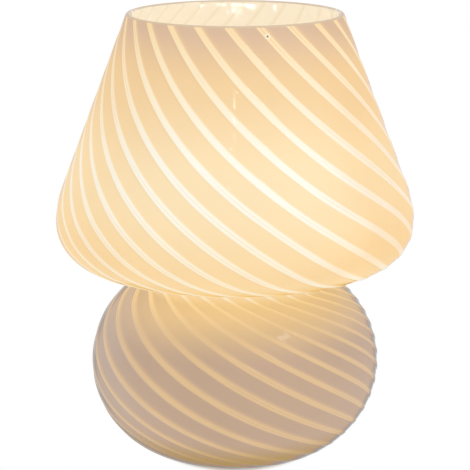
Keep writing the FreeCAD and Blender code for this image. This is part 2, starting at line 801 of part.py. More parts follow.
def make_screw_shell(doc):
    """Metal sleeve that takes the bulb's thread, on a flange that the skirt holds down."""
    flange = SHELL_OUTER + size("shell_flange")
    bottom = CAP_TOP
    return turned(doc, "screw_shell", [
        (SHELL_BORE, bottom),
        (flange, bottom),
        (flange, bottom + size("shell_flange_thick")),
        (SHELL_OUTER, bottom + size("shell_flange_thick")),
        (SHELL_OUTER, bottom + size("shell_height")),
        (SHELL_BORE, bottom + size("shell_height")),
    ], HOLDER_LEVEL)


def make_skirt(doc):
    """Upper half of the holder: a sleeve over the spigot, with a flange inside."""
    outer = size("holder_radius")
    over = SPIGOT_RADIUS + size("slack")
    mouth = outer - size("holder_wall")
    bevel = size("holder_wall") / 2
    flange_top = SKIRT_FLANGE + size("skirt_flange_thick")
    flange_bore = SHELL_OUTER + size("slack")
    return turned(doc, "holder_skirt", [
        (over, size("cap_shoulder")),
        (outer, size("cap_shoulder")),
        (outer, SKIRT_TOP - bevel),
        (outer - bevel, SKIRT_TOP),
        (mouth, SKIRT_TOP),
        (mouth, flange_top),
        (flange_bore, flange_top),
        (flange_bore, SKIRT_FLANGE),
        (over, SKIRT_FLANGE),
    ], HOLDER_LEVEL)


def make_leaf(doc):
    """Springy centre contact: a strip with a flat foot and a raised tongue."""
    body = new_body(doc, "centre_contact")
    sketch = new_sketch(body, "leaf_outline")
    thick = size("leaf_thick")
    rise = size("leaf_rise")
    foot = SHELL_BORE - size("slack") - size("thread_slack") - thick
    bend = foot / 2
    tongue = size("tip_radius")
    draw_polygon(sketch, [
        (-foot, 0),
        (-bend, 0),
        (thick - tongue / 2, rise - thick),
        (tongue, rise - thick),
        (tongue, rise),
        (-tongue / 2, rise),
        (-bend - thick, thick),
        (-foot, thick),
    ])
    add_feature(body, "Pad", "leaf_strip", sketch, Midplane=True, Length=size("leaf_width"))
    place(body, HOLDER_LEVEL + CORE_TOP)
    return body


# ---- bulb ----

def make_bulb_tip(doc):
    radius = size("tip_radius")
    return turned(doc, "bulb_tip", [
        (0, 0),
        (size("tip_flat"), 0),
        (radius, radius - size("tip_flat")),
        (radius, size("tip_height")),
        (0, size("tip_height")),
    ], TIP_LEVEL)


def make_bulb_insulator(doc):
    radius = size("insulator_radius")
    return turned(doc, "bulb_insulator", [
        (0, size("tip_height")),
        (radius / 2, size("tip_height")),
        (radius, INSULATOR_TOP - size("insulator_band")),
        (radius, INSULATOR_TOP),
        (0, INSULATOR_TOP),
    ], TIP_LEVEL)


def make_bulb_cap(doc):
    """Metal cap of the bulb, whose thread runs in the screw shell."""
    outer = size("thread_radius")
    wall = size("bulb_cap_wall")
    flare = size("bulb_cap_flare")
    return turned(doc, "bulb_cap", [
        (size("insulator_radius") - wall * 2, INSULATOR_TOP),
        (outer - wall * 2, INSULATOR_TOP),
        (outer, INSULATOR_TOP + wall * 2),
        (outer, BULB_CAP_TOP - flare),
        (outer + flare, BULB_CAP_TOP - wall),
        (outer + flare, BULB_CAP_TOP),
        (BULB_CAP_BORE, BULB_CAP_TOP),
        (BULB_CAP_BORE, INSULATOR_TOP + wall * 2),
        (size("insulator_radius") - wall * 2, INSULATOR_TOP + wall * 2),
    ], TIP_LEVEL)


def make_collar(doc):
    """Flared housing between the cap and the globe, with a seat for the light board."""
    wall = size("collar_wall")
    spigot = BULB_CAP_BORE - size("slack")
    bore = spigot - size("collar_spigot_wall")
    start = size("thread_radius") + size("bulb_cap_flare")
    rim = COLLAR_TOP - size("collar_rim")
    seat = COLLAR_SEAT - wall
    return turned(doc, "bulb_collar", [
        (bore, BULB_CAP_TOP - size("collar_spigot")),
        (spigot, BULB_CAP_TOP - size("collar_spigot")),
        (spigot, BULB_CAP_TOP),
        (start, BULB_CAP_TOP),
        (start + size("collar_step"), COLLAR_WAIST),
        (COLLAR_RADIUS, rim),
        (COLLAR_RADIUS, COLLAR_TOP),
        (COLLAR_SEAT, COLLAR_TOP),
        (COLLAR_SEAT, rim),
        (seat, rim),
        (start + size("collar_step") - wall, COLLAR_WAIST + wall),
        (bore, BULB_CAP_TOP + wall),
    ], TIP_LEVEL)


def make_globe(doc):
    """Opal globe: two arcs about one centre, cut flat where it sits on the collar."""
    body = new_body(doc, "bulb_globe")
    sketch = new_sketch(body, "globe_section")
    outer = size("globe_radius")
    inner = outer - size("globe_wall")
    centre = (0, GLOBE_LEVEL.number)
    rest = COLLAR_TOP
    skins = []
    for radius in (outer, inner):
        start = -math.asin((GLOBE_LEVEL - rest).number / radius.number)
        skin = sketch.addGeometry(arc(centre, radius.number, start, math.pi / 2), False)
        bind(sketch, radius, "Radius", skin)
        constrain(sketch, "PointOnObject", skin, 3, -2)
        constrain(sketch, "PointOnObject", skin, 2, -2)
        pin_level(sketch, skin, 3, GLOBE_LEVEL)
        pin_level(sketch, skin, 1, rest)
        skins.append(skin)
    tops = [sketch.getPoint(skin, 2) for skin in skins]
    feet = [sketch.getPoint(skin, 1) for skin in skins]
    crown = sketch.addGeometry(Part.LineSegment(*tops), False)
    seat = sketch.addGeometry(Part.LineSegment(*feet), False)
    for number, skin in enumerate(skins, start=1):
        constrain(sketch, "Coincident", crown, number, skin, 2)
        constrain(sketch, "Coincident", seat, number, skin, 1)
    turn(body, sketch, "globe_turn")
    place(body, TIP_LEVEL)
    return body


def make_led_board(doc):
    """Round light board on the collar's seat, with its chips in a ring."""
    disc = doc.addObject("Part::Cylinder", "board_disc")
    disc.setExpression("Radius", (COLLAR_SEAT - size("slack")).formula)
    disc.setExpression("Height", size("board_thick").formula)
    place(disc, TIP_LEVEL + BOARD_LEVEL)
    chips = []
    for number in range(LED_COUNT):
        chip = doc.addObject("Part::Box", f"led_{number + 1}")
        chip.setExpression("Length", size("led_side").formula)
        chip.setExpression("Width", size("led_side").formula)
        chip.setExpression("Height", size("led_height").formula)
        angle = as_dim(360 * number / LED_COUNT)
        half = size("led_side") / 2
        x = size("led_circle") * cosine(angle) - half
        y = size("led_circle") * sine(angle) - half
        place(chip, TIP_LEVEL + BOARD_LEVEL + size("board_thick"), x, y)
        chips.append(chip)
    board = doc.addObject("Part::MultiFuse", "bulb_led_board")
    board.Shapes = [disc] + chips
    board.Label = "bulb_led_board"
    return board


def make_driver(doc):
    """Driver board on edge under the light board, with its capacitor."""
    card = doc.addObject("Part::Box", "driver_card")
    width = (BULB_CAP_BORE - size("driver_margin")) * 2
    card.setExpression("Length", width.formula)
    card.setExpression("Width", size("driver_thick").formula)
    foot = INSULATOR_TOP + size("driver_foot_gap")
    card.setExpression("Height", (BOARD_LEVEL - foot).formula)
    place(card, TIP_LEVEL + foot, -width / 2, -size("driver_thick") / 2)
    can = doc.addObject("Part::Cylinder", "driver_capacitor")
    can.setExpression("Radius", size("capacitor_radius").formula)
    low = COLLAR_WAIST + size("collar_wall")
    can.setExpression("Height", (BOARD_LEVEL - size("collar_wall") - low).formula)
    place(can, TIP_LEVEL + low, 0, size("capacitor_radius"))
    driver = doc.addObject("Part::Fuse", "bulb_driver")
    driver.Base, driver.Tool = card, can
    driver.Label = "bulb_driver"
    return driver


# ---- check and write ----

def check(doc, nodes):
    for item in doc.Objects:
        if "Invalid" in item.State or "Error" in item.State:
            raise RuntimeError(f"{item.Label} failed: {item.State}")
    for node in nodes:
        shape = node.Shape
        if shape.isNull() or not shape.isValid() or not shape.Solids:
            raise RuntimeError(f"{node.Label} has no valid solid")
        print(f"{node.Label}: {len(shape.Solids)} solid(s), {shape.Volume / 1000:.2f} cm3")


def main():
    doc = FreeCAD.newDocument("table_lamp")
    make_sheet(doc)
    nodes = [
        make_glass(doc),
        make_bush(doc),
        make_pads(doc),
        make_seal(doc),
        make_plate(doc),
        make_tube(doc),
        make_nut(doc),
        make_washer(doc),
        make_holder_cap(doc),
        make_grub(doc),
        make_core(doc),
        make_terminal_screws(doc),
        make_screw_shell(doc),
        make_skirt(doc),
        make_leaf(doc),
        make_bulb_tip(doc),
        make_bulb_insulator(doc),
        make_bulb_cap(doc),
        make_collar(doc),
        make_globe(doc),
        make_led_board(doc),
        make_driver(doc),
    ]
    doc.recompute()
    check(doc, nodes)
    os.makedirs("parts", exist_ok=True)
    for node in nodes:
        node.Shape.exportStep(f"parts/{node.Label}.step")


main()
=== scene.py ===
import json
import math

import bmesh
import bpy
import numpy as np
from bpy.props import FloatProperty, FloatVectorProperty, IntProperty, PointerProperty
from mathutils import Matrix, Vector


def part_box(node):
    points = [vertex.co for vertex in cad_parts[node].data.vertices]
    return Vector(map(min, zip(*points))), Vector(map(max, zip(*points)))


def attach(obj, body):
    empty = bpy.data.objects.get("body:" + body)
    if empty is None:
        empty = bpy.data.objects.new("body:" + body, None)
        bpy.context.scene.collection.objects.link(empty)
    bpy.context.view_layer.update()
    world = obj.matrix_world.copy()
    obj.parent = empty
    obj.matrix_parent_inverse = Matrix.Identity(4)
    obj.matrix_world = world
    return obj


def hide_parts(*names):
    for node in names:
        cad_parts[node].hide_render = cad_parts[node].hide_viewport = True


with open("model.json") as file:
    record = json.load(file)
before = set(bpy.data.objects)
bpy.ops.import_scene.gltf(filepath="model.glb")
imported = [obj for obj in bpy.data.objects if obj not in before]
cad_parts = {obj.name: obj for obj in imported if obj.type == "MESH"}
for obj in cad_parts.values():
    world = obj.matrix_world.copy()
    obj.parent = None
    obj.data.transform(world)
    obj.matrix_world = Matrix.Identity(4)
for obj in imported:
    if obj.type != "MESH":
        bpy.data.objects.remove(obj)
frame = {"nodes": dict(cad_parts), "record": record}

bl_info = {
    "name": "Swirl Glass Table Lamp",
    "version": (1, 0, 0),
    "blender": (4, 5, 0),
    "location": "3D View > Sidebar > Lamp",
    "description": "Dresses a lit mushroom lamp of swirl-striped opal glass and sets its studio",
    "category": "Object",
}

MM = 0.001


def srgb(red, green, blue):
    """A colour given as 0 to 255 the way a picture shows it, as linear light."""
    def linear(value):
        value /= 255
        return value / 12.92 if value <= 0.04045 else ((value + 0.055) / 1.055) ** 2.4
    return (linear(red), linear(green), linear(blue))


def length(name, default, description):
    return FloatProperty(name=name, description=description, default=default, unit="LENGTH", precision=5)


def number(name, default, description):
    return FloatProperty(name=name, description=description, default=default, precision=4)


def angle(name, degrees, description):
    return FloatProperty(name=name, description=description, default=math.radians(degrees), unit="ROTATION")


def colour(name, default, description):
    return FloatVectorProperty(name=name, description=description, default=default, subtype="COLOR", size=3,
                               min=0.0, max=1.0)


class LampSizes(bpy.types.PropertyGroup):
    """Sizes of the blown glass and its stripes"""

    rim_radius: length("Rim radius", 0.057, "Outside radius of the opening at the top")
    shade_round: length("Shade round", 0.0495, "Radius of the arc from the cone to the widest line")
    lip_round: length("Lip round", 0.023, "Radius of the arc under the widest line")
    shade_rise: length("Shade rise", 0.0303, "Height of the shade's widest line above the neck")
    neck_radius: length("Neck radius", 0.0523, "Outside radius of the neck")
    neck_round: length("Neck round", 0.005, "Radius of the groove at the neck")
    neck_rise: length("Neck rise", 0.048, "Height of the neck above the base's widest line")
    base_radius: length("Base radius", 0.0778, "Outside radius of the base")
    base_level: length("Base level", 0.051, "Height of the base's widest line")
    foot_radius: length("Foot radius", 0.037, "Outside radius of the flat foot")
    wall: length("Wall", 0.003, "Thickness of the glass")
    floor_thick: length("Floor", 0.006, "Thickness of the glass under the base")
    punt_radius: length("Punt radius", 0.025, "Radius of the hollow under the foot")
    punt_depth: length("Punt depth", 0.003, "Depth of the hollow under the foot")
    relief: length("Relief", 0.00035, "How far the ground lies below the stripes")
    stripe_count: IntProperty(name="Stripes", description="Stripes round the glass", default=26)
    stripe_share: number("Stripe share", 0.25, "Width of a stripe as a share of the pitch")
    shade_turn: angle("Shade turn", -96.65, "Where the stripes start at the rim")
    shade_lead: number("Shade lead", 0.785, "Slope of the stripes at the rim, sideways over down")
    shade_gain: number("Shade gain", 0.92, "How much the slope grows per metre down the shade")
    shade_bend: number("Shade bend", 40.5, "How much the slope grows per square metre down the shade")
    base_turn: angle("Base turn", -222.2, "Where the base's stripes would start at the rim")
    base_gain: number("Base gain", 7.35, "How much the slope grows per metre, on the base")


class LampColours(bpy.types.PropertyGroup):
    """Colours of the lit glass and of the studio"""

    # painted light of the bulb on the shade's ground, by height: glow beside the bulb, amber under it, peach
    # over it, and the dimmer haze under the rim
    glow: colour("Glow", srgb(251, 226, 182), "Ground of the shade beside the bulb")
    amber: colour("Amber", srgb(251, 219, 167), "Ground of the shade under the bulb")
    peach: colour("Peach", srgb(241, 206, 156), "Ground of the shade over the bulb")
    haze: colour("Haze", srgb(216, 185, 158), "Ground of the shade under the rim")
    # the base's ground, painted dimmer than the shade's since less of the bulb's light reaches it, and mauve
    # as painted shade where the base turns away
    dusk: colour("Dusk", srgb(193, 165, 141), "Ground of the base")
    mauve: colour("Mauve", srgb(194, 173, 157), "Ground of the base where it turns away")
    spill: colour("Spill", srgb(240, 206, 147), "Light that falls on the base's shoulder")
    spill_stripe: colour("Spill stripe", srgb(248, 216, 159), "Stripes on the base's shoulder")
    # painted glow of the bulb's light through the thick glass round the foot, on the olive hue of that glass
    olive: colour("Olive", srgb(176, 145, 80), "Thick glass round the foot")
    # stripes painted with the bulb's light by height: white beside it, cream over it, ivory under it, darker
    # under the rim; tan and dimmer on the base, pale as painted shade where it turns away
    white_stripe: colour("White stripe", srgb(252, 249, 234), "Stripes beside the bulb")
    cream_stripe: colour("Cream stripe", srgb(251, 233, 198), "Stripes over the bulb")
    ivory_stripe: colour("Ivory stripe", srgb(253, 240, 212), "Stripes under the bulb")
    rim_stripe: colour("Rim stripe", srgb(250, 221, 172), "Stripes under the rim")
    tan_stripe: colour("Tan stripe", srgb(223, 190, 146), "Stripes of the base")
    pale_stripe: colour("Pale stripe", srgb(220, 192, 161), "Stripes of the base where it turns away")
    # the inside wall, painted as lit by the bulb
    inner: colour("Inner wall", srgb(250, 234, 206), "Inside of the shade")
    inner_stripe: colour("Inner stripe", srgb(240, 222, 188), "Stripes seen on the inside")
    rim: colour("Rim", srgb(214, 191, 162), "Polished edge of the opening")
    seed: colour("Seed", srgb(122, 84, 52), "Small bubble caught in the glass")
    # painted shade on the shade's ground and stripes where they turn away
    side_shade_ground: colour("Side ground", (0.975, 0.915, 0.835), "Tint of the shade where it turns away")
    side_shade_stripe: colour("Side stripe", (0.975, 0.865, 0.775), "Tint of its stripes where it turns away")
    # a painted dark line along the shade's outline
    silhouette: colour("Silhouette", srgb(201, 184, 170), "Thin line along the shade's outline")
    floor: colour("Floor", (0.93, 0.93, 0.93), "Pale studio floor")


def lamp_sizes():
    return bpy.context.scene.lamp_sizes


def lamp_colours():
    return bpy.context.scene.lamp_colours


def add_object(name, data):
    item = bpy.data.objects.new(name, data)
    bpy.context.scene.collection.objects.link(item)
    return item


# ---- shader building ----

def add_node(tree, kind, **settings):
    node = tree.nodes.new(kind)
    for name, value in settings.items():
        setattr(node, name, value)
    return node


def feed(tree, socket, value):
    """Link a socket from another one, or write a plain value into it."""
    if isinstance(value, bpy.types.NodeSocket):
        tree.links.new(value, socket)
    elif hasattr(value, "__len__") and len(value) == 3 and socket.type == "RGBA":
        socket.default_value = (*value, 1.0)
    else:
        socket.default_value = value


def maths(tree, operation, *values):
    node = add_node(tree, "ShaderNodeMath", operation=operation)
    for socket, value in zip(node.inputs, values):
        feed(tree, socket, value)
    return node.outputs[0]


def product(tree, first, *others):
    for other in others:
        first = maths(tree, "MULTIPLY", first, other)
    return first


def vector_maths(tree, operation, *values):
    node = add_node(tree, "ShaderNodeVectorMath", operation=operation)
    for socket, value in zip(node.inputs, values):
        feed(tree, socket, value)
    return node.outputs["Value" if operation in ("LENGTH", "DISTANCE") else "Vector"]


def rise(tree, value, span, ends=(0.0, 1.0), origin=0.0):
    """A smooth step from one end to the other while the value crosses the span, counted from origin."""
    node = add_node(tree, "ShaderNodeMapRange", interpolation_type="SMOOTHSTEP")
    feed(tree, node.inputs["Value"], value)
    for label, item in zip(("From Min", "From Max"), span):
        feed(tree, node.inputs[label], origin + item if origin else item)
    for label, item in zip(("To Min", "To Max"), ends):
        feed(tree, node.inputs[label], item)
    return node.outputs[0]


def mixed(tree, factor, first, second, mode="MIX"):
    node = add_node(tree, "ShaderNodeMix", data_type="RGBA", blend_type=mode, clamp_result=mode == "SUBTRACT")
    colours = [socket for socket in node.inputs if socket.type == "RGBA"]
    feed(tree, node.inputs[0], factor)
    feed(tree, colours[0], first)
    feed(tree, colours[1], second)
    return next(socket for socket in node.outputs if socket.type == "RGBA")


def object_place(tree):
    return add_node(tree, "ShaderNodeTexCoord").outputs["Object"]


def parts_of(tree, vector):
    node = add_node(tree, "ShaderNodeSeparateXYZ")
    feed(tree, node.inputs[0], vector)
    return node.outputs


def height_above_table(tree):
    return parts_of(tree, object_place(tree))["Z"]


def grey(tree, value):
    node = add_node(tree, "ShaderNodeCombineColor")
    for socket in node.inputs:
        feed(tree, socket, value)
    return node.outputs[0]


def scaled(tree, hue, share):
    """A colour times one number, given as a value or a socket."""
    return mixed(tree, 1.0, hue, grey(tree, share), "MULTIPLY")


def noise(tree, scale, detail=2.0, stretch=(1, 1, 1)):
    mapping = add_node(tree, "ShaderNodeMapping")
    feed(tree, mapping.inputs["Vector"], object_place(tree))
    mapping.inputs["Scale"].default_value = stretch
    node = add_node(tree, "ShaderNodeTexNoise")
    for label, item in (("Vector", mapping.outputs[0]), ("Scale", scale), ("Detail", detail)):
        feed(tree, node.inputs[label], item)
    return node.outputs["Fac"]


def new_group(name, inputs, masks=(), colours=()):
    """An empty group, what comes into it and what goes out of it: masks are numbers from 0 to 1."""
    group = bpy.data.node_groups.new(name, "ShaderNodeTree")
    for label, default in inputs.items():
        socket = group.interface.new_socket(label, in_out="INPUT", socket_type="NodeSocketFloat")
        socket.default_value = default
    for kind, labels in (("NodeSocketFloat", masks), ("NodeSocketColor", colours)):
        for label in labels:
            group.interface.new_socket(label, in_out="OUTPUT", socket_type=kind)
    return group, group.nodes.new("NodeGroupInput").outputs, group.nodes.new("NodeGroupOutput").inputs


def use_group(tree, group, **values):
    node = add_node(tree, "ShaderNodeGroup", node_tree=group)
    for name, value in values.items():
        feed(tree, node.inputs[name.capitalize()], value)
    return node.outputs


# the stripes: how far their edges wander, and how far the halo and the thin core reach from the
# middle, all as shares of the pitch; the two scales are of the noise that moves and breaks them
EDGE_WANDER = 0.04
EDGE_WANDER_SCALE = 40.0
HALO_REACH = (0.05, 0.34)
CORE_REACH = (0.012, 0.03)
CORE_PATCH_SCALE = 14.0
NECK_ZONE = (0.09, 0.11)


def stripe_group():
    """Masks of the stripes, from the distance to the nearest stripe that the glass mesh carries."""
    existing = bpy.data.node_groups.get("swirl_stripes")
    if existing:
        return existing
    group, inputs, outputs = new_group("swirl_stripes", {"Share": 0.24, "Softness": 0.03},
                                       masks=("Stripe", "Halo", "Core"))
    carried = add_node(group, "ShaderNodeAttribute", attribute_name="swirl")
    carried = parts_of(group, carried.outputs["Vector"])
    away, side = carried["X"], carried["Y"]
    half = maths(group, "MULTIPLY", inputs["Share"], 0.5)
    wander = product(group, maths(group, "SUBTRACT", noise(group, EDGE_WANDER_SCALE), 0.5), EDGE_WANDER)
    inside = maths(group, "SUBTRACT", maths(group, "ADD", half, wander), away)
    # the stripes melt more into the ground on the base, and on their lower side
    spread = rise(group, height_above_table(group), NECK_ZONE, ends=(2.2, 1.1))
    softness = product(group, inputs["Softness"], maths(group, "MULTIPLY_ADD", side, 0.7, spread))
    stripe = rise(group, inside, (maths(group, "MULTIPLY", softness, -1.0), softness))
    halo = rise(group, away, HALO_REACH, ends=(1.0, 0.0))
    core = rise(group, away, CORE_REACH, ends=(1.0, 0.0))
    patchy = rise(group, noise(group, CORE_PATCH_SCALE, detail=1.0), (0.5, 0.62))
    feed(group, outputs["Stripe"], stripe)
    feed(group, outputs["Halo"], product(group, halo, maths(group, "MULTIPLY_ADD", side, 0.5, 0.5)))
    feed(group, outputs["Core"], product(group, core, patchy))
    return group


# how much of the glass's colour is painted light of the bulb shining through it, and how much is lit by the
# studio
LIT_SHARE = 0.745
BODY_SHARE = 0.36
INNER_LIT_SHARE = 0.78
INNER_BODY_SHARE = 0.2
# the skin's gloss, how much of it is taken off the glass's painted light, and how much of its painted light
# the base keeps along its outline, the rest being painted shade
GLOSS_LEVEL = 0.1
GLOSS_IOR = 1.2
INNER_GLOSS_IOR = 1.45
GLOSS_TAKEN = 0.8
EDGE_SHARE = 0.5
# heights between which the zones of the shade's painted bulb light come in, and its painted side shade fades,
# counted from the bulb's middle
UNDER_BULB = (-0.055, -0.013)
OVER_BULB = (-0.008, 0.049)
UNDER_RIM = (0.039, 0.070)
SIDE_SHADE_ENDS = (0.010, 0.050)
# counted from the neck
SHADE_STARTS = (-0.004, 0.002)
SIDE_SHADE_STARTS = (0.012, 0.030)
# counted from the table: the painted spill of light on the shoulder and its stripes, the painted glow at the
# foot, and where the base's painted mauve shade comes in
SPILL_ZONE = (0.068, 0.099)
SPILL_ON_STRIPE = (0.078, 0.100)
FOOT_ZONE = (0.006, 0.028)
MAUVE_STARTS = (0.008, 0.045)
# places of the polished edge's fade under the top, and the stretch from the left side to the right
RIM_EDGE = (-0.0011, -0.0004)
LEFT_TO_RIGHT = (-0.08, 0.08)
# heights between which the painted shade along the outline ends over the base, and the painted spill ends on
# the inner wall
EDGE_ENDS = (0.098, 0.106)
INNER_SPILL_ENDS = (0.05, 0.12)
# how far the glass turns away, 0 to 1, where it takes the base's painted mauve shade, the lampshade's painted
# side shade, the base's painted dimming and the lampshade's painted dark line
MAUVE_FACING = (0.1, 0.7)
SIDE_SHADE_FACING = (0.05, 0.5)
DIM_FACING = (0.72, 0.92)
LINE_FACING = (0.88, 0.98)
# a small bubble near the rim, and how far it and the pale ring round it reach
SEED_PLACE = (0.0161, -0.0567, 0.235)
SEED_SPECK = (0.0003, 0.00075)
SEED_RING = (0.00102, 0.0017)


def bulb_middle():
    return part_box("bulb_globe")[0][2] * 0.76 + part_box("bulb_globe")[1][2] * 0.24


def glow_group():
    """Colour of the lit glass by height, as painted light: the bulb's glow, the dimmer rim, the spill on the
    base's shoulder, the glow at the foot, and painted shade where the glass turns away.
    """
    existing = bpy.data.node_groups.get("lamp_glow")
    if existing:
        return existing
    colours, sizes = lamp_colours(), lamp_sizes()
    # Side, Round and Line tell how far the glass turns away, for its painted shade
    names = ("Stripe", "Halo", "Core", "Side", "Round", "Line")
    group, inputs, outputs = new_group("lamp_glow", dict.fromkeys(names, 0.0), colours=("Light", "Body"))
    level = height_above_table(group)
    bulb, neck = bulb_middle(), sizes.base_level + sizes.neck_rise
    low = rise(group, level, UNDER_BULB, ends=(1.0, 0.0), origin=bulb)
    over = rise(group, level, OVER_BULB, origin=bulb)
    high = rise(group, level, UNDER_RIM, origin=bulb)
    shade = rise(group, level, SHADE_STARTS, origin=neck)
    foot = rise(group, level, FOOT_ZONE, ends=(1.0, 0.0))
    warm = maths(group, "MULTIPLY", inputs["Halo"], 0.5)
    # painted shade where the glass turns away: a little stronger on the right on the shade, weaker there on
    # the base
    right = rise(group, parts_of(group, object_place(group))["X"], LEFT_TO_RIGHT)
    side_shade_mask = product(group, inputs["Round"], rise(group, level, SIDE_SHADE_STARTS, origin=neck),
                     rise(group, level, SIDE_SHADE_ENDS, ends=(1.0, 0.2), origin=bulb),
                     maths(group, "MULTIPLY_ADD", right, 0.6, 0.6))
    turned = product(group, inputs["Side"], rise(group, level, MAUVE_STARTS),
                     maths(group, "MULTIPLY_ADD", right, -0.7, 1.25))

    # the shade's ground: painted light of the bulb by height, then painted shade where it turns away
    ground = mixed(group, low, colours.glow, colours.amber)
    ground = mixed(group, high, mixed(group, over, ground, colours.peach), colours.haze)
    ground = mixed(group, product(group, warm, 1.6, high), ground, colours.peach)
    ground = mixed(group, side_shade_mask, ground, colours.side_shade_ground, "MULTIPLY")
    # the base's ground: painted spill of light on its shoulder, painted mauve shade where it turns away,
    # painted glow at the foot
    spill = product(group, rise(group, level, SPILL_ZONE), maths(group, "MULTIPLY_ADD", turned, -0.6, 1.0))
    base = mixed(group, turned, colours.dusk, colours.mauve)
    base = mixed(group, warm, base, colours.tan_stripe)
    base = mixed(group, spill, base, colours.spill)
    base = mixed(group, foot, base, colours.olive)
    ground = mixed(group, shade, base, ground)

    # the stripes: painted light of the bulb by height, painted shade where the glass turns away
    bright = mixed(group, over, colours.white_stripe, colours.cream_stripe)
    bright = mixed(group, low, bright, colours.ivory_stripe)
    bright = mixed(group, high, bright, colours.rim_stripe)
    bright = mixed(group, side_shade_mask, bright, colours.side_shade_stripe, "MULTIPLY")
    tan = mixed(group, turned, colours.tan_stripe, colours.pale_stripe)
    tan = mixed(group, rise(group, level, SPILL_ON_STRIPE), tan, colours.spill_stripe)
    bright = mixed(group, shade, mixed(group, foot, tan, colours.olive), bright)
    bright = mixed(group, maths(group, "MULTIPLY", inputs["Core"], 0.6), bright, ground)

    lit = mixed(group, inputs["Stripe"], ground, bright)
    # a painted dark line along the shade's outline
    lit = mixed(group, product(group, inputs["Line"], shade, 0.7), lit, colours.silhouette)
    away = vector_maths(group, "DISTANCE", object_place(group), SEED_PLACE)
    lit = mixed(group, rise(group, away, SEED_RING, ends=(0.8, 0.0)), lit, colours.ivory_stripe)
    lit = mixed(group, rise(group, away, SEED_SPECK, ends=(0.9, 0.0)), lit, colours.seed)
    lit = mixed(group, rim_share(group), lit, colours.rim)
    cloud = rise(group, noise(group, 18.0, detail=3.0), (0.3, 0.7), ends=(0.965, 1.02))
    feed(group, outputs["Light"], scaled(group, lit, product(group, cloud, LIT_SHARE)))
    feed(group, outputs["Body"], scaled(group, lit, BODY_SHARE))
    return group


def rim_share(tree):
    """1 on the polished edge of the opening, and 0 below it."""
    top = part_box("glass_body")[1][2]
    return rise(tree, height_above_table(tree), RIM_EDGE, origin=top)


def surface_group():
    """Fine wear and grain: a tint factor, a roughness and a height for the bump."""
    existing = bpy.data.node_groups.get("fine_surface")
    if existing:
        return existing
    group, inputs, outputs = new_group("fine_surface", {"Roughness": 0.4, "Spread": 0.1, "Scale": 300.0},
                                       masks=("Tint", "Roughness", "Height"))
    coarse = noise(group, 60.0, detail=3.0)
    wave = product(group, maths(group, "SUBTRACT", coarse, 0.5), inputs["Spread"])
    feed(group, outputs["Tint"], maths(group, "MULTIPLY_ADD", coarse, 0.5, 0.25))
    feed(group, outputs["Roughness"], maths(group, "ADD", inputs["Roughness"], wave))
    feed(group, outputs["Height"], noise(group, inputs["Scale"], detail=4.0))
    return group


def principled(material):
    material.use_nodes = True
    return next(node for node in material.node_tree.nodes if node.type == "BSDF_PRINCIPLED")


def add_bump(tree, shader, height, depth, strength):
    bump = add_node(tree, "ShaderNodeBump")
    bump.inputs["Strength"].default_value = strength
    bump.inputs["Distance"].default_value = depth
    feed(tree, bump.inputs["Height"], height)
    feed(tree, shader.inputs["Normal"], bump.outputs[0])


def gloss_share(tree, ior):
    """How much the skin mirrors, which is light that the glass under it doesn't send out."""
    gloss = add_node(tree, "ShaderNodeFresnel")
    gloss.inputs["IOR"].default_value = ior
    return gloss.outputs[0]


def opal_outer():
    """Outside of the glass: lit opal ground with lighter stripes under a glossy skin."""
    material = bpy.data.materials.new("opal_glass_outer")
    shader = principled(material)
    tree = material.node_tree
    masks = use_group(tree, stripe_group(), share=lamp_sizes().stripe_share)
    weight = add_node(tree, "ShaderNodeLayerWeight")
    weight.inputs["Blend"].default_value = 0.5
    facing = weight.outputs["Facing"]
    # the facing masks give painted shade: the base's mauve, the shade's side shade and its dark outline
    glow = use_group(tree, glow_group(), **{name.lower(): masks[name] for name in ("Stripe", "Halo", "Core")},
                     side=rise(tree, facing, MAUVE_FACING), round=rise(tree, facing, SIDE_SHADE_FACING),
                     line=rise(tree, facing, LINE_FACING))
    # painted shade: the base's light and body colour dim along its outline
    base = rise(tree, height_above_table(tree), EDGE_ENDS, ends=(EDGE_SHARE - 1.0, 0.0))
    dim = maths(tree, "MULTIPLY_ADD", rise(tree, facing, DIM_FACING), base, 1.0)
    light = scaled(tree, glow["Light"], dim)
    light = mixed(tree, GLOSS_TAKEN, light, grey(tree, gloss_share(tree, GLOSS_IOR)), "SUBTRACT")
    feed(tree, shader.inputs["Base Color"], scaled(tree, glow["Body"], dim))
    feed(tree, shader.inputs["Emission Color"], light)
    shader.inputs["Emission Strength"].default_value = 1.0
    shader.inputs["Roughness"].default_value = 0.07
    shader.inputs["Specular IOR Level"].default_value = GLOSS_LEVEL
    add_bump(tree, shader, noise(tree, 55.0, stretch=(1, 1, 0.6)), 0.5 * MM, 0.2)
    return material


def opal_inner():
    """Inside of the glass: an even pale yellow, painted as lit by the bulb, with the stripes faint and
    darker.
    """
    material = bpy.data.materials.new("opal_glass_inner")
    shader = principled(material)
    tree = material.node_tree
    colours = lamp_colours()
    masks = use_group(tree, stripe_group(), share=lamp_sizes().stripe_share * 0.6, softness=0.08)
    wall = mixed(tree, maths(tree, "MULTIPLY", masks["Stripe"], 0.7), colours.inner, colours.inner_stripe)
    # painted spill of light on the lower inside wall
    lower = rise(tree, height_above_table(tree), INNER_SPILL_ENDS, ends=(1.0, 0.0))
    wall = mixed(tree, lower, wall, colours.spill)
    wall = mixed(tree, rim_share(tree), wall, colours.rim)
    light = scaled(tree, wall, INNER_LIT_SHARE)
    light = mixed(tree, gloss_share(tree, INNER_GLOSS_IOR), light, (0.0, 0.0, 0.0))
    feed(tree, shader.inputs["Base Color"], scaled(tree, wall, INNER_BODY_SHARE))
    feed(tree, shader.inputs["Emission Color"], light)
    shader.inputs["Emission Strength"].default_value = 1.0
    shader.inputs["Roughness"].default_value = 0.05
    add_bump(tree, shader, noise(tree, 120.0, detail=1.0, stretch=(1, 1, 0.6)), 3 * MM, 0.5)
    return material


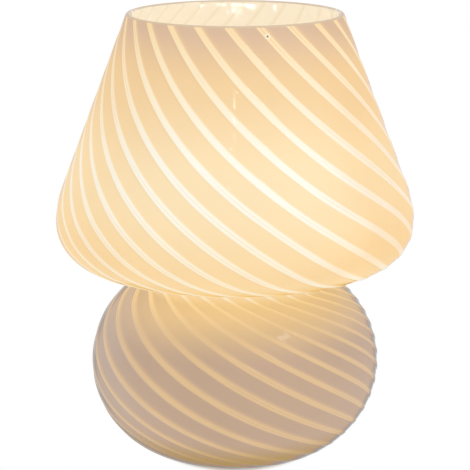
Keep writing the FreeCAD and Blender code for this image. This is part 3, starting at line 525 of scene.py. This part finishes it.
# the bulb's globe: strength of its light, colour of it away from the middle, and the middle's reach
GLOBE_STRENGTH = 14.0
GLOBE_SIDE = (0.040, 0.033, 0.022)
GLOBE_MIDDLE = (0.010, 0.019)


def hot_middle(tree):
    """The bulb's globe is brightest where it stands over its light chips, round the middle."""
    flat = vector_maths(tree, "MULTIPLY", object_place(tree), (1.0, 1.0, 0.0))
    return rise(tree, vector_maths(tree, "LENGTH", flat), GLOBE_MIDDLE, ends=(1.0, 0.0))


def plain_finish(name, base, roughness, metallic=0.0, spread=0.1, grain=300.0, light=None, coat=0.0):
    """A finish with fine wear: tint, roughness and bump come from the shared surface group."""
    material = bpy.data.materials.new(name)
    shader = principled(material)
    tree = material.node_tree
    surface = use_group(tree, surface_group(), roughness=roughness, spread=spread, scale=grain)
    # a darker tone of the finish, spread at random by the wear noise
    darker_tone = tuple(value * 0.86 for value in base)
    feed(tree, shader.inputs["Base Color"], mixed(tree, surface["Tint"], base, darker_tone))
    feed(tree, shader.inputs["Roughness"], surface["Roughness"])
    shader.inputs["Metallic"].default_value = metallic
    shader.inputs["Coat Weight"].default_value = coat
    if light:
        feed(tree, shader.inputs["Emission Color"], mixed(tree, hot_middle(tree), GLOBE_SIDE, light))
        shader.inputs["Emission Strength"].default_value = GLOBE_STRENGTH
    add_bump(tree, shader, surface["Height"], 0.05 * MM, 0.3)
    return material


FINISHES = {
    "bush_rubber": dict(base=srgb(226, 220, 206), roughness=0.5, grain=900.0),
    "pad_rubber": dict(base=srgb(234, 231, 222), roughness=0.35),
    "seal_rubber": dict(base=srgb(238, 235, 224), roughness=0.45, grain=700.0),
    "white_steel": dict(base=srgb(243, 240, 230), roughness=0.35, grain=500.0, coat=0.3),
    "zinc_steel": dict(base=srgb(205, 203, 190), roughness=0.32, metallic=1.0, spread=0.3),
    "holder_plastic": dict(base=srgb(243, 240, 232), roughness=0.25),
    "core_ceramic": dict(base=srgb(240, 235, 222), roughness=0.6, grain=1500.0),
    "contact_brass": dict(base=srgb(232, 200, 120), roughness=0.28, metallic=1.0),
    "shell_aluminium": dict(base=srgb(226, 226, 222), roughness=0.3, metallic=1.0, spread=0.2),
    "tip_metal": dict(base=srgb(198, 196, 190), roughness=0.35, metallic=1.0),
    "black_insulator": dict(base=srgb(30, 30, 32), roughness=0.12),
    "bulb_plastic": dict(base=srgb(245, 245, 242), roughness=0.4),
    "bulb_opal": dict(base=srgb(176, 171, 160), roughness=0.3, light=srgb(246, 249, 255)),
    "light_board": dict(base=srgb(240, 240, 232), roughness=0.45),
    "driver_board": dict(base=srgb(40, 110, 66), roughness=0.5, grain=800.0),
}


# ---- the glass ----

def arc_points(centre, radius, start, end, step):
    """Points of an arc in the section plane, from one angle to another."""
    count = max(2, round(abs(end - start) * radius / step))
    steps = [start + (end - start) * index / count for index in range(count + 1)]
    return [(centre[0] + radius * math.cos(turn), centre[1] + radius * math.sin(turn)) for turn in steps]


def line_points(start, end, step):
    count = max(1, round(math.dist(start, end) / step))
    return [tuple(a + (b - a) * index / count for a, b in zip(start, end)) for index in range(count + 1)]


def outer_section(sizes, top, shade_radius, foot_level, step):
    """Outside of the glass from the rim down to the foot: a straight cone and tangent arcs."""
    neck = (sizes.neck_radius + sizes.neck_round, sizes.base_level + sizes.neck_rise)
    shade_level = neck[1] + sizes.shade_rise
    shade = (shade_radius - sizes.shade_round, shade_level)
    lip = (shade_radius - sizes.lip_round, shade_level)
    rim = (sizes.rim_radius, top)
    bearing = math.atan2(rim[1] - shade[1], rim[0] - shade[0])
    side = bearing - math.acos(sizes.shade_round / math.dist(rim, shade))
    climb = math.atan2(lip[1] - neck[1], lip[0] - neck[0])
    under = climb - math.asin((sizes.lip_round + sizes.neck_round) / math.dist(lip, neck))
    across, up = neck[0] - sizes.base_radius, neck[1] - sizes.base_level
    top_round = (across ** 2 + up ** 2 - sizes.neck_round ** 2) / (2 * (sizes.neck_round - across))
    crown = (sizes.base_radius - top_round, sizes.base_level)
    shoulder = math.atan2(neck[1] - crown[1], neck[0] - crown[0])
    span, drop = sizes.base_radius - sizes.foot_radius, sizes.base_level - foot_level
    low_round = (span ** 2 + drop ** 2) / (2 * span)
    low = (sizes.base_radius - low_round, sizes.base_level)
    meet = arc_points(shade, sizes.shade_round, side, side, step)[0]
    quarter = math.pi / 2
    pieces = [
        line_points(rim, meet, step),
        arc_points(shade, sizes.shade_round, side, 0.0, step),
        arc_points(lip, sizes.lip_round, 0.0, under - quarter, step),
        arc_points(neck, sizes.neck_round, under + quarter, shoulder + math.pi, step / 2),
        arc_points(crown, top_round, shoulder, 0.0, step),
        arc_points(low, low_round, 0.0, -math.asin(drop / low_round), step),
    ]
    points = pieces[0]
    for piece in pieces[1:]:
        gap = math.dist(points[-1], piece[0])
        if gap > 2 * step:
            points = points + line_points(points[-1], piece[0], step)[1:-1]
        points = points + (piece[1:] if gap < step / 4 else piece)
    return np.array(points)


def along(points):
    return np.concatenate([[0.0], np.cumsum(np.hypot(*np.diff(points, axis=0).T))])


def normals(points):
    slope = np.gradient(points, axis=0)
    slope /= np.linalg.norm(slope, axis=1)[:, None]
    return np.stack([-slope[:, 1], slope[:, 0]], axis=1)


def smooth(value, low, high):
    share = np.clip((value - low) / (high - low), 0.0, 1.0)
    return share * share * (3 - 2 * share)


class Swirl:
    """The count of stripes passed at an angle and a distance down the outside of the glass.

    The stripes run down the shade and the base with slopes of their own. Their spacing round the
    glass is uneven, and the two parts' spacings run into each other over the hidden neck."""

    # the first stripe's place, and how much the spacing swings once and twice round the glass
    SHADE_SPACING = (2.999, 0.387, 0.499, 0.053)
    BASE_SPACING = (1.54, -1.030, 0.503, 0.0)
    # how far the shade's stripes are pushed along on its right side, as a share of their pitch,
    # and how much that grows per metre down the shade
    SHADE_SQUEEZE = 0.18
    SQUEEZE_GAIN = 1.2
    SQUEEZE_RISE, SQUEEZE_FALL = (0.35, 1.25), (2.5, 5.5)
    # the neck lies further down the outside than this, and the two parts' stripes run into each
    # other from so far before the neck to so far after it
    PAST_SHADE = 0.12
    BLEND_BEFORE, BLEND_AFTER = 0.030, 0.014

    def __init__(self, sizes, section):
        self.count = sizes.stripe_count
        self.run = along(section)
        step = np.diff(self.run, prepend=0.0)
        radius = section[:, 0]
        shade_slope = sizes.shade_lead + sizes.shade_gain * self.run + sizes.shade_bend * self.run ** 2
        base_slope = sizes.base_gain * self.run
        self.shade_turn = sizes.shade_turn + np.cumsum(shade_slope / radius * step)
        self.base_turn = sizes.base_turn + np.cumsum(base_slope / radius * step)
        past = np.flatnonzero(self.run >= self.PAST_SHADE)
        neck = self.run[past[np.argmin(np.abs(radius[past] - sizes.neck_radius))]]
        self.start, self.end = neck - self.BLEND_BEFORE, neck + self.BLEND_AFTER
        apart = np.interp(neck, self.run, self.base_turn - self.shade_turn)
        shift = self.count * apart / (2 * math.pi) + self.SHADE_SPACING[0] - self.BASE_SPACING[0]
        self.offset = round(shift)

    def passed(self, turn, distance):
        def part(table, spacing):
            local = turn - np.interp(distance, self.run, table)
            start, sine, cosine, twice = spacing
            swing = sine * np.sin(local) + cosine * np.cos(local) + twice * np.cos(2 * local)
            return self.count * local / (2 * math.pi) + start + swing

        share = smooth(distance, self.start, self.end)
        round_glass = np.mod(turn, 2 * math.pi)
        squeeze = smooth(round_glass, *self.SQUEEZE_RISE) - smooth(round_glass, *self.SQUEEZE_FALL)
        push = self.SHADE_SQUEEZE + self.SQUEEZE_GAIN * distance
        upper = part(self.shade_turn, self.SHADE_SPACING) - push * squeeze
        lower = part(self.base_turn, self.BASE_SPACING) + self.offset
        return (1 - share) * upper + share * lower

    def turns(self, distance, counts):
        """Angles round the glass at which the given counts of stripes are passed."""
        fine = np.linspace(-4 * math.pi, 6 * math.pi, 6000)
        return np.interp(counts, self.passed(fine, distance), fine)


# the mesh's columns round one stripe, as shares of the pitch from its middle: closest at its edges
STRIPE_STATIONS = (-0.5, -0.4, -0.3, -0.21, -0.16, -0.13, -0.10, -0.05,
                   0.0, 0.05, 0.10, 0.13, 0.16, 0.21, 0.3, 0.4)
# distances over which the relief fades in under the rim and out towards the foot, and how far
# inside and outside a stripe's edge its flank reaches, as shares of the pitch
RELIEF_STARTS = (0.002, 0.008)
RELIEF_ENDS = (0.0, 0.05)
FLANK = (-0.03, 0.06)
OUTER_SKIN, INNER_SKIN = 0, 1
# distance to a stripe and side of it that the two poles carry
POLE_MASKS = (0.25, 0.0, 0.0)


def glass_rows(sizes):
    """Rows of the glass from the middle of its floor, up inside, over the rim, down and under.

    Each row is radius, height, its outward normal, its place along the outside, its relief and its
    skin. The heights of the two poles and the stripes' count come with them."""
    low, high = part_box("glass_body")
    foot_level, top = low[2], high[2]
    shade_radius = min(high[0], high[1], -low[0], -low[1])
    step = 1.6 * MM
    section = outer_section(sizes, top, shade_radius, foot_level, step)
    out = normals(section)
    run = along(section)
    # the rim is a half circle across the wall, which takes up the first bit of the outside
    lean = math.atan2(out[1][1], out[1][0])
    half = sizes.wall / 2
    first = half * (1 - math.sin(lean)) / math.cos(lean)
    skin = [(p, n, s) for p, n, s in zip(section, out, run) if s > first + step / 2]
    start = np.array([np.interp(first, run, section[:, 0]), np.interp(first, run, section[:, 1])])
    centre = start - out[1] * half
    floor_level = foot_level + sizes.floor_thick
    inner = [(p - n * sizes.wall, n, s) for p, n, s in skin]
    inner = [(p, n, s) for p, n, s in inner if p[1] > floor_level]
    edge, edge_place = inner[-1][0][0], inner[-1][2]
    rows = [(radius, floor_level, 0.0, 1.0, edge_place, 0.0, INNER_SKIN)
            for radius in np.linspace(0.0, edge, 12)[1:]]
    for point, normal, place in reversed(inner):
        rows.append((*point, *-normal, place, 0.0, INNER_SKIN))
    for index in range(13):
        turn = lean + math.pi - math.pi * index / 12
        across, up = math.cos(turn), math.sin(turn)
        rows.append((centre[0] + half * across, centre[1] + half * up, across, up, first, 0.0,
                     INNER_SKIN if index < 7 else OUTER_SKIN))
    for point, normal, place in skin:
        fade = smooth(place, *RELIEF_STARTS) * smooth(run[-1] - place, *RELIEF_ENDS)
        rows.append((*point, *normal, place, float(fade), OUTER_SKIN))
    dome = (sizes.punt_radius ** 2 + sizes.punt_depth ** 2) / (2 * sizes.punt_depth)
    under = [(radius, foot_level) for radius in np.linspace(sizes.foot_radius, sizes.punt_radius, 5)[1:]]
    for radius in np.linspace(sizes.punt_radius, 0.0, 9)[1:-1]:
        under.append((radius, foot_level + sizes.punt_depth - dome + math.sqrt(dome ** 2 - radius ** 2)))
    rows += [(radius, height, 0.0, -1.0, run[-1], 0.0, OUTER_SKIN) for radius, height in under]
    return rows, (floor_level, foot_level + sizes.punt_depth), Swirl(sizes, section)


def glass_faces(columns, skins):
    """Faces between the rows and round the two poles that close the mesh, with the skin of each."""
    faces, face_skins = [], []
    after = [(column + 1) % columns for column in range(columns)]
    for row, skin in enumerate(skins[1:]):
        here, there = row * columns, (row + 1) * columns
        faces += [(here + column, there + column, there + after[column], here + after[column])
                  for column in range(columns)]
        face_skins += [skin] * columns
    last, pole = (len(skins) - 1) * columns, len(skins) * columns
    for column in range(columns):
        faces += [(pole, column, after[column]), (pole + 1, last + after[column], last + column)]
        face_skins += [INNER_SKIN, OUTER_SKIN]
    return faces, face_skins


def build_glass():
    """One closed mesh: every column of it follows the stripes, so their raised edges stay clean."""
    sizes = lamp_sizes()
    rows, pole_heights, swirl = glass_rows(sizes)
    stations = np.array(STRIPE_STATIONS)
    counts = (np.arange(sizes.stripe_count)[:, None] + stations[None, :]).ravel()
    away = np.tile(np.abs(stations), sizes.stripe_count)
    side = np.tile(np.sin(2 * math.pi * stations), sizes.stripe_count)
    half = sizes.stripe_share / 2
    sunk = smooth(away, half + FLANK[0], half + FLANK[1])
    vertices = []
    for radius, height, out, up, place, relief, _ in rows:
        turns = swirl.turns(place, counts)
        depth = sizes.relief * relief * sunk
        reach = radius - out * depth
        across, ahead = reach * np.sin(turns), -reach * np.cos(turns)
        vertices.append(np.stack([across, ahead, height - up * depth], axis=1))
    vertices.append(np.array([[0.0, 0.0, height] for height in pole_heights]))
    carried = np.stack([away, side, np.zeros(len(counts))], axis=1)
    carried = np.concatenate([carried] * len(rows) + [np.array([POLE_MASKS] * 2)])
    faces, skins = glass_faces(len(counts), [row[-1] for row in rows])
    mesh = bpy.data.meshes.new("glass_swirl")
    mesh.from_pydata(np.concatenate(vertices).tolist(), [], faces)
    mesh.polygons.foreach_set("material_index", skins)
    attribute = mesh.attributes.new("swirl", "FLOAT_VECTOR", "POINT")
    attribute.data.foreach_set("vector", carried.ravel().astype(np.float32))
    mesh.polygons.foreach_set("use_smooth", [True] * len(faces))
    mesh.update()
    mesh.set_sharp_from_angle(angle=math.radians(50))
    mesh.materials.append(opal_outer())
    mesh.materials.append(opal_inner())
    piece = add_object("glass_swirl", mesh)
    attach(piece, "glass")
    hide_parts("glass_body")


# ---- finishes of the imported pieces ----

def slot_of(node):
    return next(entry["material_slot"] for entry in frame["record"]["subparts"] if entry["node"] == node)


def finish_of(slot):
    """The finish of a material slot, made the first time it is asked for."""
    name = slot + "_finish"
    return bpy.data.materials.get(name) or plain_finish(name, **FINISHES[slot])


def dress_packed_pieces():
    """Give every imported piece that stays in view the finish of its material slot."""
    for node, item in frame["nodes"].items():
        slot = slot_of(node)
        if slot in FINISHES:
            for holder in item.material_slots:
                holder.material = finish_of(slot)


# ---- threads and sockets inside ----

# rise of the bulb's round thread in one turn
ROUND_PITCH = 2.82 * MM

def turned_mesh(name, outline, pitch, depth, columns=72):
    """A turned piece. Points are radius, height, share of the thread, and share of a hexagon."""
    rows = np.array(outline)
    turns = np.linspace(0.0, 2 * math.pi, columns, endpoint=False)
    corner = np.mod(turns, math.pi / 3) - math.pi / 6
    flats = math.cos(math.pi / 6) / np.cos(corner)
    mesh = bpy.data.meshes.new(name)
    build = bmesh.new()
    rings = []
    for radius, height, wave, flat in rows:
        groove = 0.5 - 0.5 * np.cos(2 * math.pi * height / pitch - turns)
        reach = (radius - depth * wave * groove) * (1 - flat + flat * flats)
        rings.append([build.verts.new((far * math.cos(turn), far * math.sin(turn), height))
                      for far, turn in zip(reach, turns)])
    for start, (ring, after) in enumerate(zip(rings, rings[1:] + rings[:1])):
        if rows[start][0] == 0 and rows[(start + 1) % len(rows)][0] == 0:
            continue
        for index in range(columns):
            beside = (index + 1) % columns
            build.faces.new((ring[index], ring[beside], after[beside], after[index]))
    bmesh.ops.remove_doubles(build, verts=build.verts, dist=1e-7)
    build.to_mesh(mesh)
    build.free()
    mesh.polygons.foreach_set("use_smooth", [True] * len(mesh.polygons))
    mesh.set_sharp_from_angle(angle=math.radians(40))
    return mesh


def threaded_run(radius, start, end, step, fade, low_share=0.0, high_share=0.0):
    """Points up a threaded wall; the thread's share fades to the given ones over the last bit."""
    count = round(abs(end - start) / step)
    heights = [start + (end - start) * index / count for index in range(count + 1)]
    low, high = min(start, end), max(start, end)
    points = []
    for height in heights:
        share = low_share + (1 - low_share) * float(smooth(height, low, low + fade))
        share *= high_share + (1 - high_share) * float(smooth(high - height, 0.0, fade))
        points.append((radius, height, share, 0.0))
    return points


def add_turned_piece(name, node, body, mesh):
    mesh.materials.append(finish_of(slot_of(node)))
    piece = add_object(name, mesh)
    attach(piece, body)
    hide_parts(node)


def build_bulb_cap():
    """The bulb's metal cap with its round rolled thread."""
    low, high = (corner[2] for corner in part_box("bulb_cap"))
    crest, wall, flare = 6.9 * MM, 0.4 * MM, 1.6 * MM
    bore, hole = crest - wall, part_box("bulb_insulator")[1][0] - 2 * wall
    outline = [(hole, low, 0, 0), (crest - 2 * wall, low, 0, 0)]
    outline += threaded_run(crest, low + 2 * wall, high - flare, ROUND_PITCH / 12, 0.8 * MM, low_share=1.0)
    outline += [(crest + flare, high - wall, 0, 0), (crest + flare, high, 0, 0), (bore, high, 0, 0),
                (bore, low + 2 * wall, 0, 0), (hole, low + 2 * wall, 0, 0)]
    mesh = turned_mesh("bulb_cap_thread", outline, ROUND_PITCH, 0.36 * MM)
    add_turned_piece("bulb_cap_thread", "bulb_cap", "bulb", mesh)


def build_screw_shell():
    """The holder's rolled shell, in step with the bulb's thread and clear of it."""
    low, high = (corner[2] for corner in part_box("screw_shell"))
    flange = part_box("screw_shell")[1][0]
    bore, outer, thick = 7.0 * MM, 7.4 * MM, 0.5 * MM
    step, fade = ROUND_PITCH / 12, 0.8 * MM
    outline = [(bore, low, 0, 0), (flange, low, 0, 0), (flange, low + thick, 0, 0)]
    outline += threaded_run(outer, low + thick, high, step, fade)
    outline += threaded_run(bore, high, low + thick, step, fade)
    mesh = turned_mesh("screw_shell_thread", outline, ROUND_PITCH, 0.3 * MM)
    add_turned_piece("screw_shell_thread", "screw_shell", "holder", mesh)


def build_threaded_tube():
    """The hollow tube with its fine outside thread."""
    low, high = (corner[2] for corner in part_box("threaded_tube"))
    bore, outer, pitch = 3.5 * MM, 4.9 * MM, 1.0 * MM
    outline = [(bore, low, 0, 0)] + threaded_run(outer, low, high, pitch / 8, 0.5 * MM, 0.9, 0.9)
    outline += [(bore, high, 0, 0)]
    mesh = turned_mesh("tube_thread", outline, pitch, 0.5 * MM, columns=48)
    add_turned_piece("tube_thread", "threaded_tube", "holder", mesh)


def build_grub_screw():
    """The locking screw: a fine thread, a chamfered point and a hexagon socket."""
    low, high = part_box("grub_screw")
    start, end, radius, pitch = low[0], high[0], (high[2] - low[2]) / 2, 0.4 * MM
    socket, deep, tip = radius * 0.5, radius * 1.2, radius * 0.35
    outline = [(0, start, 0, 0), (radius - tip, start, 0, 0)]
    outline += threaded_run(radius, start + tip, end - tip / 2, pitch / 6, 0.2 * MM)
    outline += [(radius - tip / 2, end, 0, 0), (socket, end, 0, 1), (socket, end - deep, 0, 1),
                (0, end - deep, 0, 0)]
    mesh = turned_mesh("grub_screw_thread", outline, pitch, 0.18 * MM, columns=48)
    mesh.transform(Matrix.Rotation(math.pi / 2, 4, "Y"))
    mesh.transform(Matrix.Translation((0, 0, (low[2] + high[2]) / 2)))
    add_turned_piece("grub_screw_thread", "grub_screw", "holder", mesh)


# ---- studio ----

def aim(item, place, target):
    item.location = place
    item.rotation_euler = (Vector(target) - Vector(place)).to_track_quat("-Z", "Y").to_euler()


# name, width and height, power and place of each light
LIGHTS = (
    ("left_softbox", (2.0, 2.0), 9.0, (-2.4, -1.6, 1.6)),
    ("right_softbox", (2.0, 2.0), 7.0, (2.4, -1.4, 1.4)),
    ("top_softbox", (2.0, 2.0), 9.0, (0.0, 0.3, 2.4)),
    ("front_spark", (0.03, 0.035), 0.18, (-0.01, -1.24, 0.92)),
    ("right_spark", (0.46, 0.24), 3.8, (0.82, -0.48, 1.16)),
)
LIT_MIDDLE = (0.0, 0.0, 0.12)


def build_lights():
    for name, size, energy, place in LIGHTS:
        data = bpy.data.lights.new(name, "AREA")
        data.shape = "RECTANGLE"
        data.size, data.size_y = size
        data.energy = energy
        lamp = add_object(name, data)
        aim(lamp, place, LIT_MIDDLE)


def white_share(tree):
    """1 where a ray comes from the camera, straight or by way of a gloss or glass, and else 0."""
    path = add_node(tree, "ShaderNodeLightPath").outputs
    seen = maths(tree, "MAXIMUM", path["Is Camera Ray"], path["Is Glossy Ray"])
    return maths(tree, "MAXIMUM", seen, path["Is Transmission Ray"])


def mix_shaders(tree, factor, first, second, output):
    mix = add_node(tree, "ShaderNodeMixShader")
    for socket, item in zip(mix.inputs, (factor, first.outputs[0], second.outputs[0])):
        feed(tree, socket, item)
    feed(tree, output.inputs["Surface"], mix.outputs[0])


def build_world():
    world = bpy.data.worlds.new("studio")
    bpy.context.scene.world = world
    world.use_nodes = True
    tree = world.node_tree
    tree.nodes.clear()
    output = add_node(tree, "ShaderNodeOutputWorld")
    soft = add_node(tree, "ShaderNodeBackground")
    soft.inputs["Color"].default_value = (0.93, 0.95, 1.0, 1.0)
    soft.inputs["Strength"].default_value = 0.55
    white = add_node(tree, "ShaderNodeBackground")
    white.inputs["Color"].default_value = (1.0, 1.0, 1.0, 1.0)
    mix_shaders(tree, white_share(tree), soft, white, output)


def build_floor():
    mesh = bpy.data.meshes.new("studio_floor")
    reach = 6.0
    corners = [(-reach, -reach, 0), (reach, -reach, 0), (reach, reach, 0), (-reach, reach, 0)]
    mesh.from_pydata(corners, [], [(0, 1, 2, 3)])
    mesh.materials.append(floor_material())
    floor = add_object("studio_floor", mesh)


# distances from the lamp's axis between which the floor turns from shadow to white
SHADOW_ENDS = (0.033, 0.042)


def floor_material():
    """Pale floor that keeps the shadow near the lamp and shows white to the camera further away."""
    material = bpy.data.materials.new("studio_floor")
    shader = principled(material)
    tree = material.node_tree
    shader.inputs["Base Color"].default_value = (*lamp_colours().floor, 1.0)
    shader.inputs["Roughness"].default_value = 0.9
    shader.inputs["Specular IOR Level"].default_value = 0.1
    away = vector_maths(tree, "LENGTH", object_place(tree))
    far = product(tree, rise(tree, away, SHADOW_ENDS), white_share(tree))
    white = add_node(tree, "ShaderNodeEmission")
    output = next(node for node in tree.nodes if node.type == "OUTPUT_MATERIAL")
    mix_shaders(tree, far, shader, white, output)
    return material


CAMERA_PLACE = (0.0, -0.9711, 0.35875)
CAMERA_TARGET = (0.0, 0.0, 0.12008)
CAMERA_LENS = 142.24
CAMERA_SENSOR = 36.0


def build_camera():
    data = bpy.data.cameras.new("studio_camera")
    data.lens = CAMERA_LENS
    data.sensor_width = CAMERA_SENSOR
    camera = add_object("studio_camera", data)
    aim(camera, CAMERA_PLACE, CAMERA_TARGET)
    bpy.context.scene.camera = camera


# ---- operators and panel ----

class LAMP_OT_glass(bpy.types.Operator):
    """Build the striped glass of the lamp"""

    bl_idname = "lamp.glass"
    bl_label = "Glass"

    def execute(self, context):
        build_glass()
        return {"FINISHED"}


class LAMP_OT_threads(bpy.types.Operator):
    """Build the threaded pieces of the holder and the bulb"""

    bl_idname = "lamp.threads"
    bl_label = "Threads"

    def execute(self, context):
        build_bulb_cap()
        build_screw_shell()
        build_threaded_tube()
        build_grub_screw()
        return {"FINISHED"}


class LAMP_OT_finishes(bpy.types.Operator):
    """Give the plate, the holder and the bulb their finishes"""

    bl_idname = "lamp.finishes"
    bl_label = "Finishes"

    def execute(self, context):
        dress_packed_pieces()
        return {"FINISHED"}


class LAMP_OT_stage(bpy.types.Operator):
    """Set the floor, the soft lights, the world and the camera"""

    bl_idname = "lamp.stage"
    bl_label = "Studio"

    def execute(self, context):
        context.scene.view_settings.view_transform = "Standard"
        build_world()
        build_floor()
        build_lights()
        build_camera()
        return {"FINISHED"}


class LAMP_PT_panel(bpy.types.Panel):
    """Sizes, colours and steps of the lamp"""

    bl_idname = "LAMP_PT_panel"
    bl_label = "Lamp"
    bl_space_type = "VIEW_3D"
    bl_region_type = "UI"
    bl_category = "Lamp"

    def draw(self, context):
        for group in (context.scene.lamp_sizes, context.scene.lamp_colours):
            box = self.layout.box()
            for name in group.__annotations__:
                box.prop(group, name)
        for operator in OPERATORS:
            self.layout.operator(operator.bl_idname)


OPERATORS = (LAMP_OT_glass, LAMP_OT_threads, LAMP_OT_finishes, LAMP_OT_stage)
CLASSES = (LampSizes, LampColours, *OPERATORS, LAMP_PT_panel)


def register():
    for item in CLASSES:
        bpy.utils.register_class(item)
    bpy.types.Scene.lamp_sizes = PointerProperty(type=LampSizes)
    bpy.types.Scene.lamp_colours = PointerProperty(type=LampColours)


def unregister():
    del bpy.types.Scene.lamp_colours
    del bpy.types.Scene.lamp_sizes
    for item in reversed(CLASSES):
        bpy.utils.unregister_class(item)


def main():
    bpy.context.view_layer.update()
    register()
    bpy.ops.lamp.glass()
    bpy.ops.lamp.threads()
    bpy.ops.lamp.finishes()
    bpy.ops.lamp.stage()


if __name__ == "__main__":
    main()
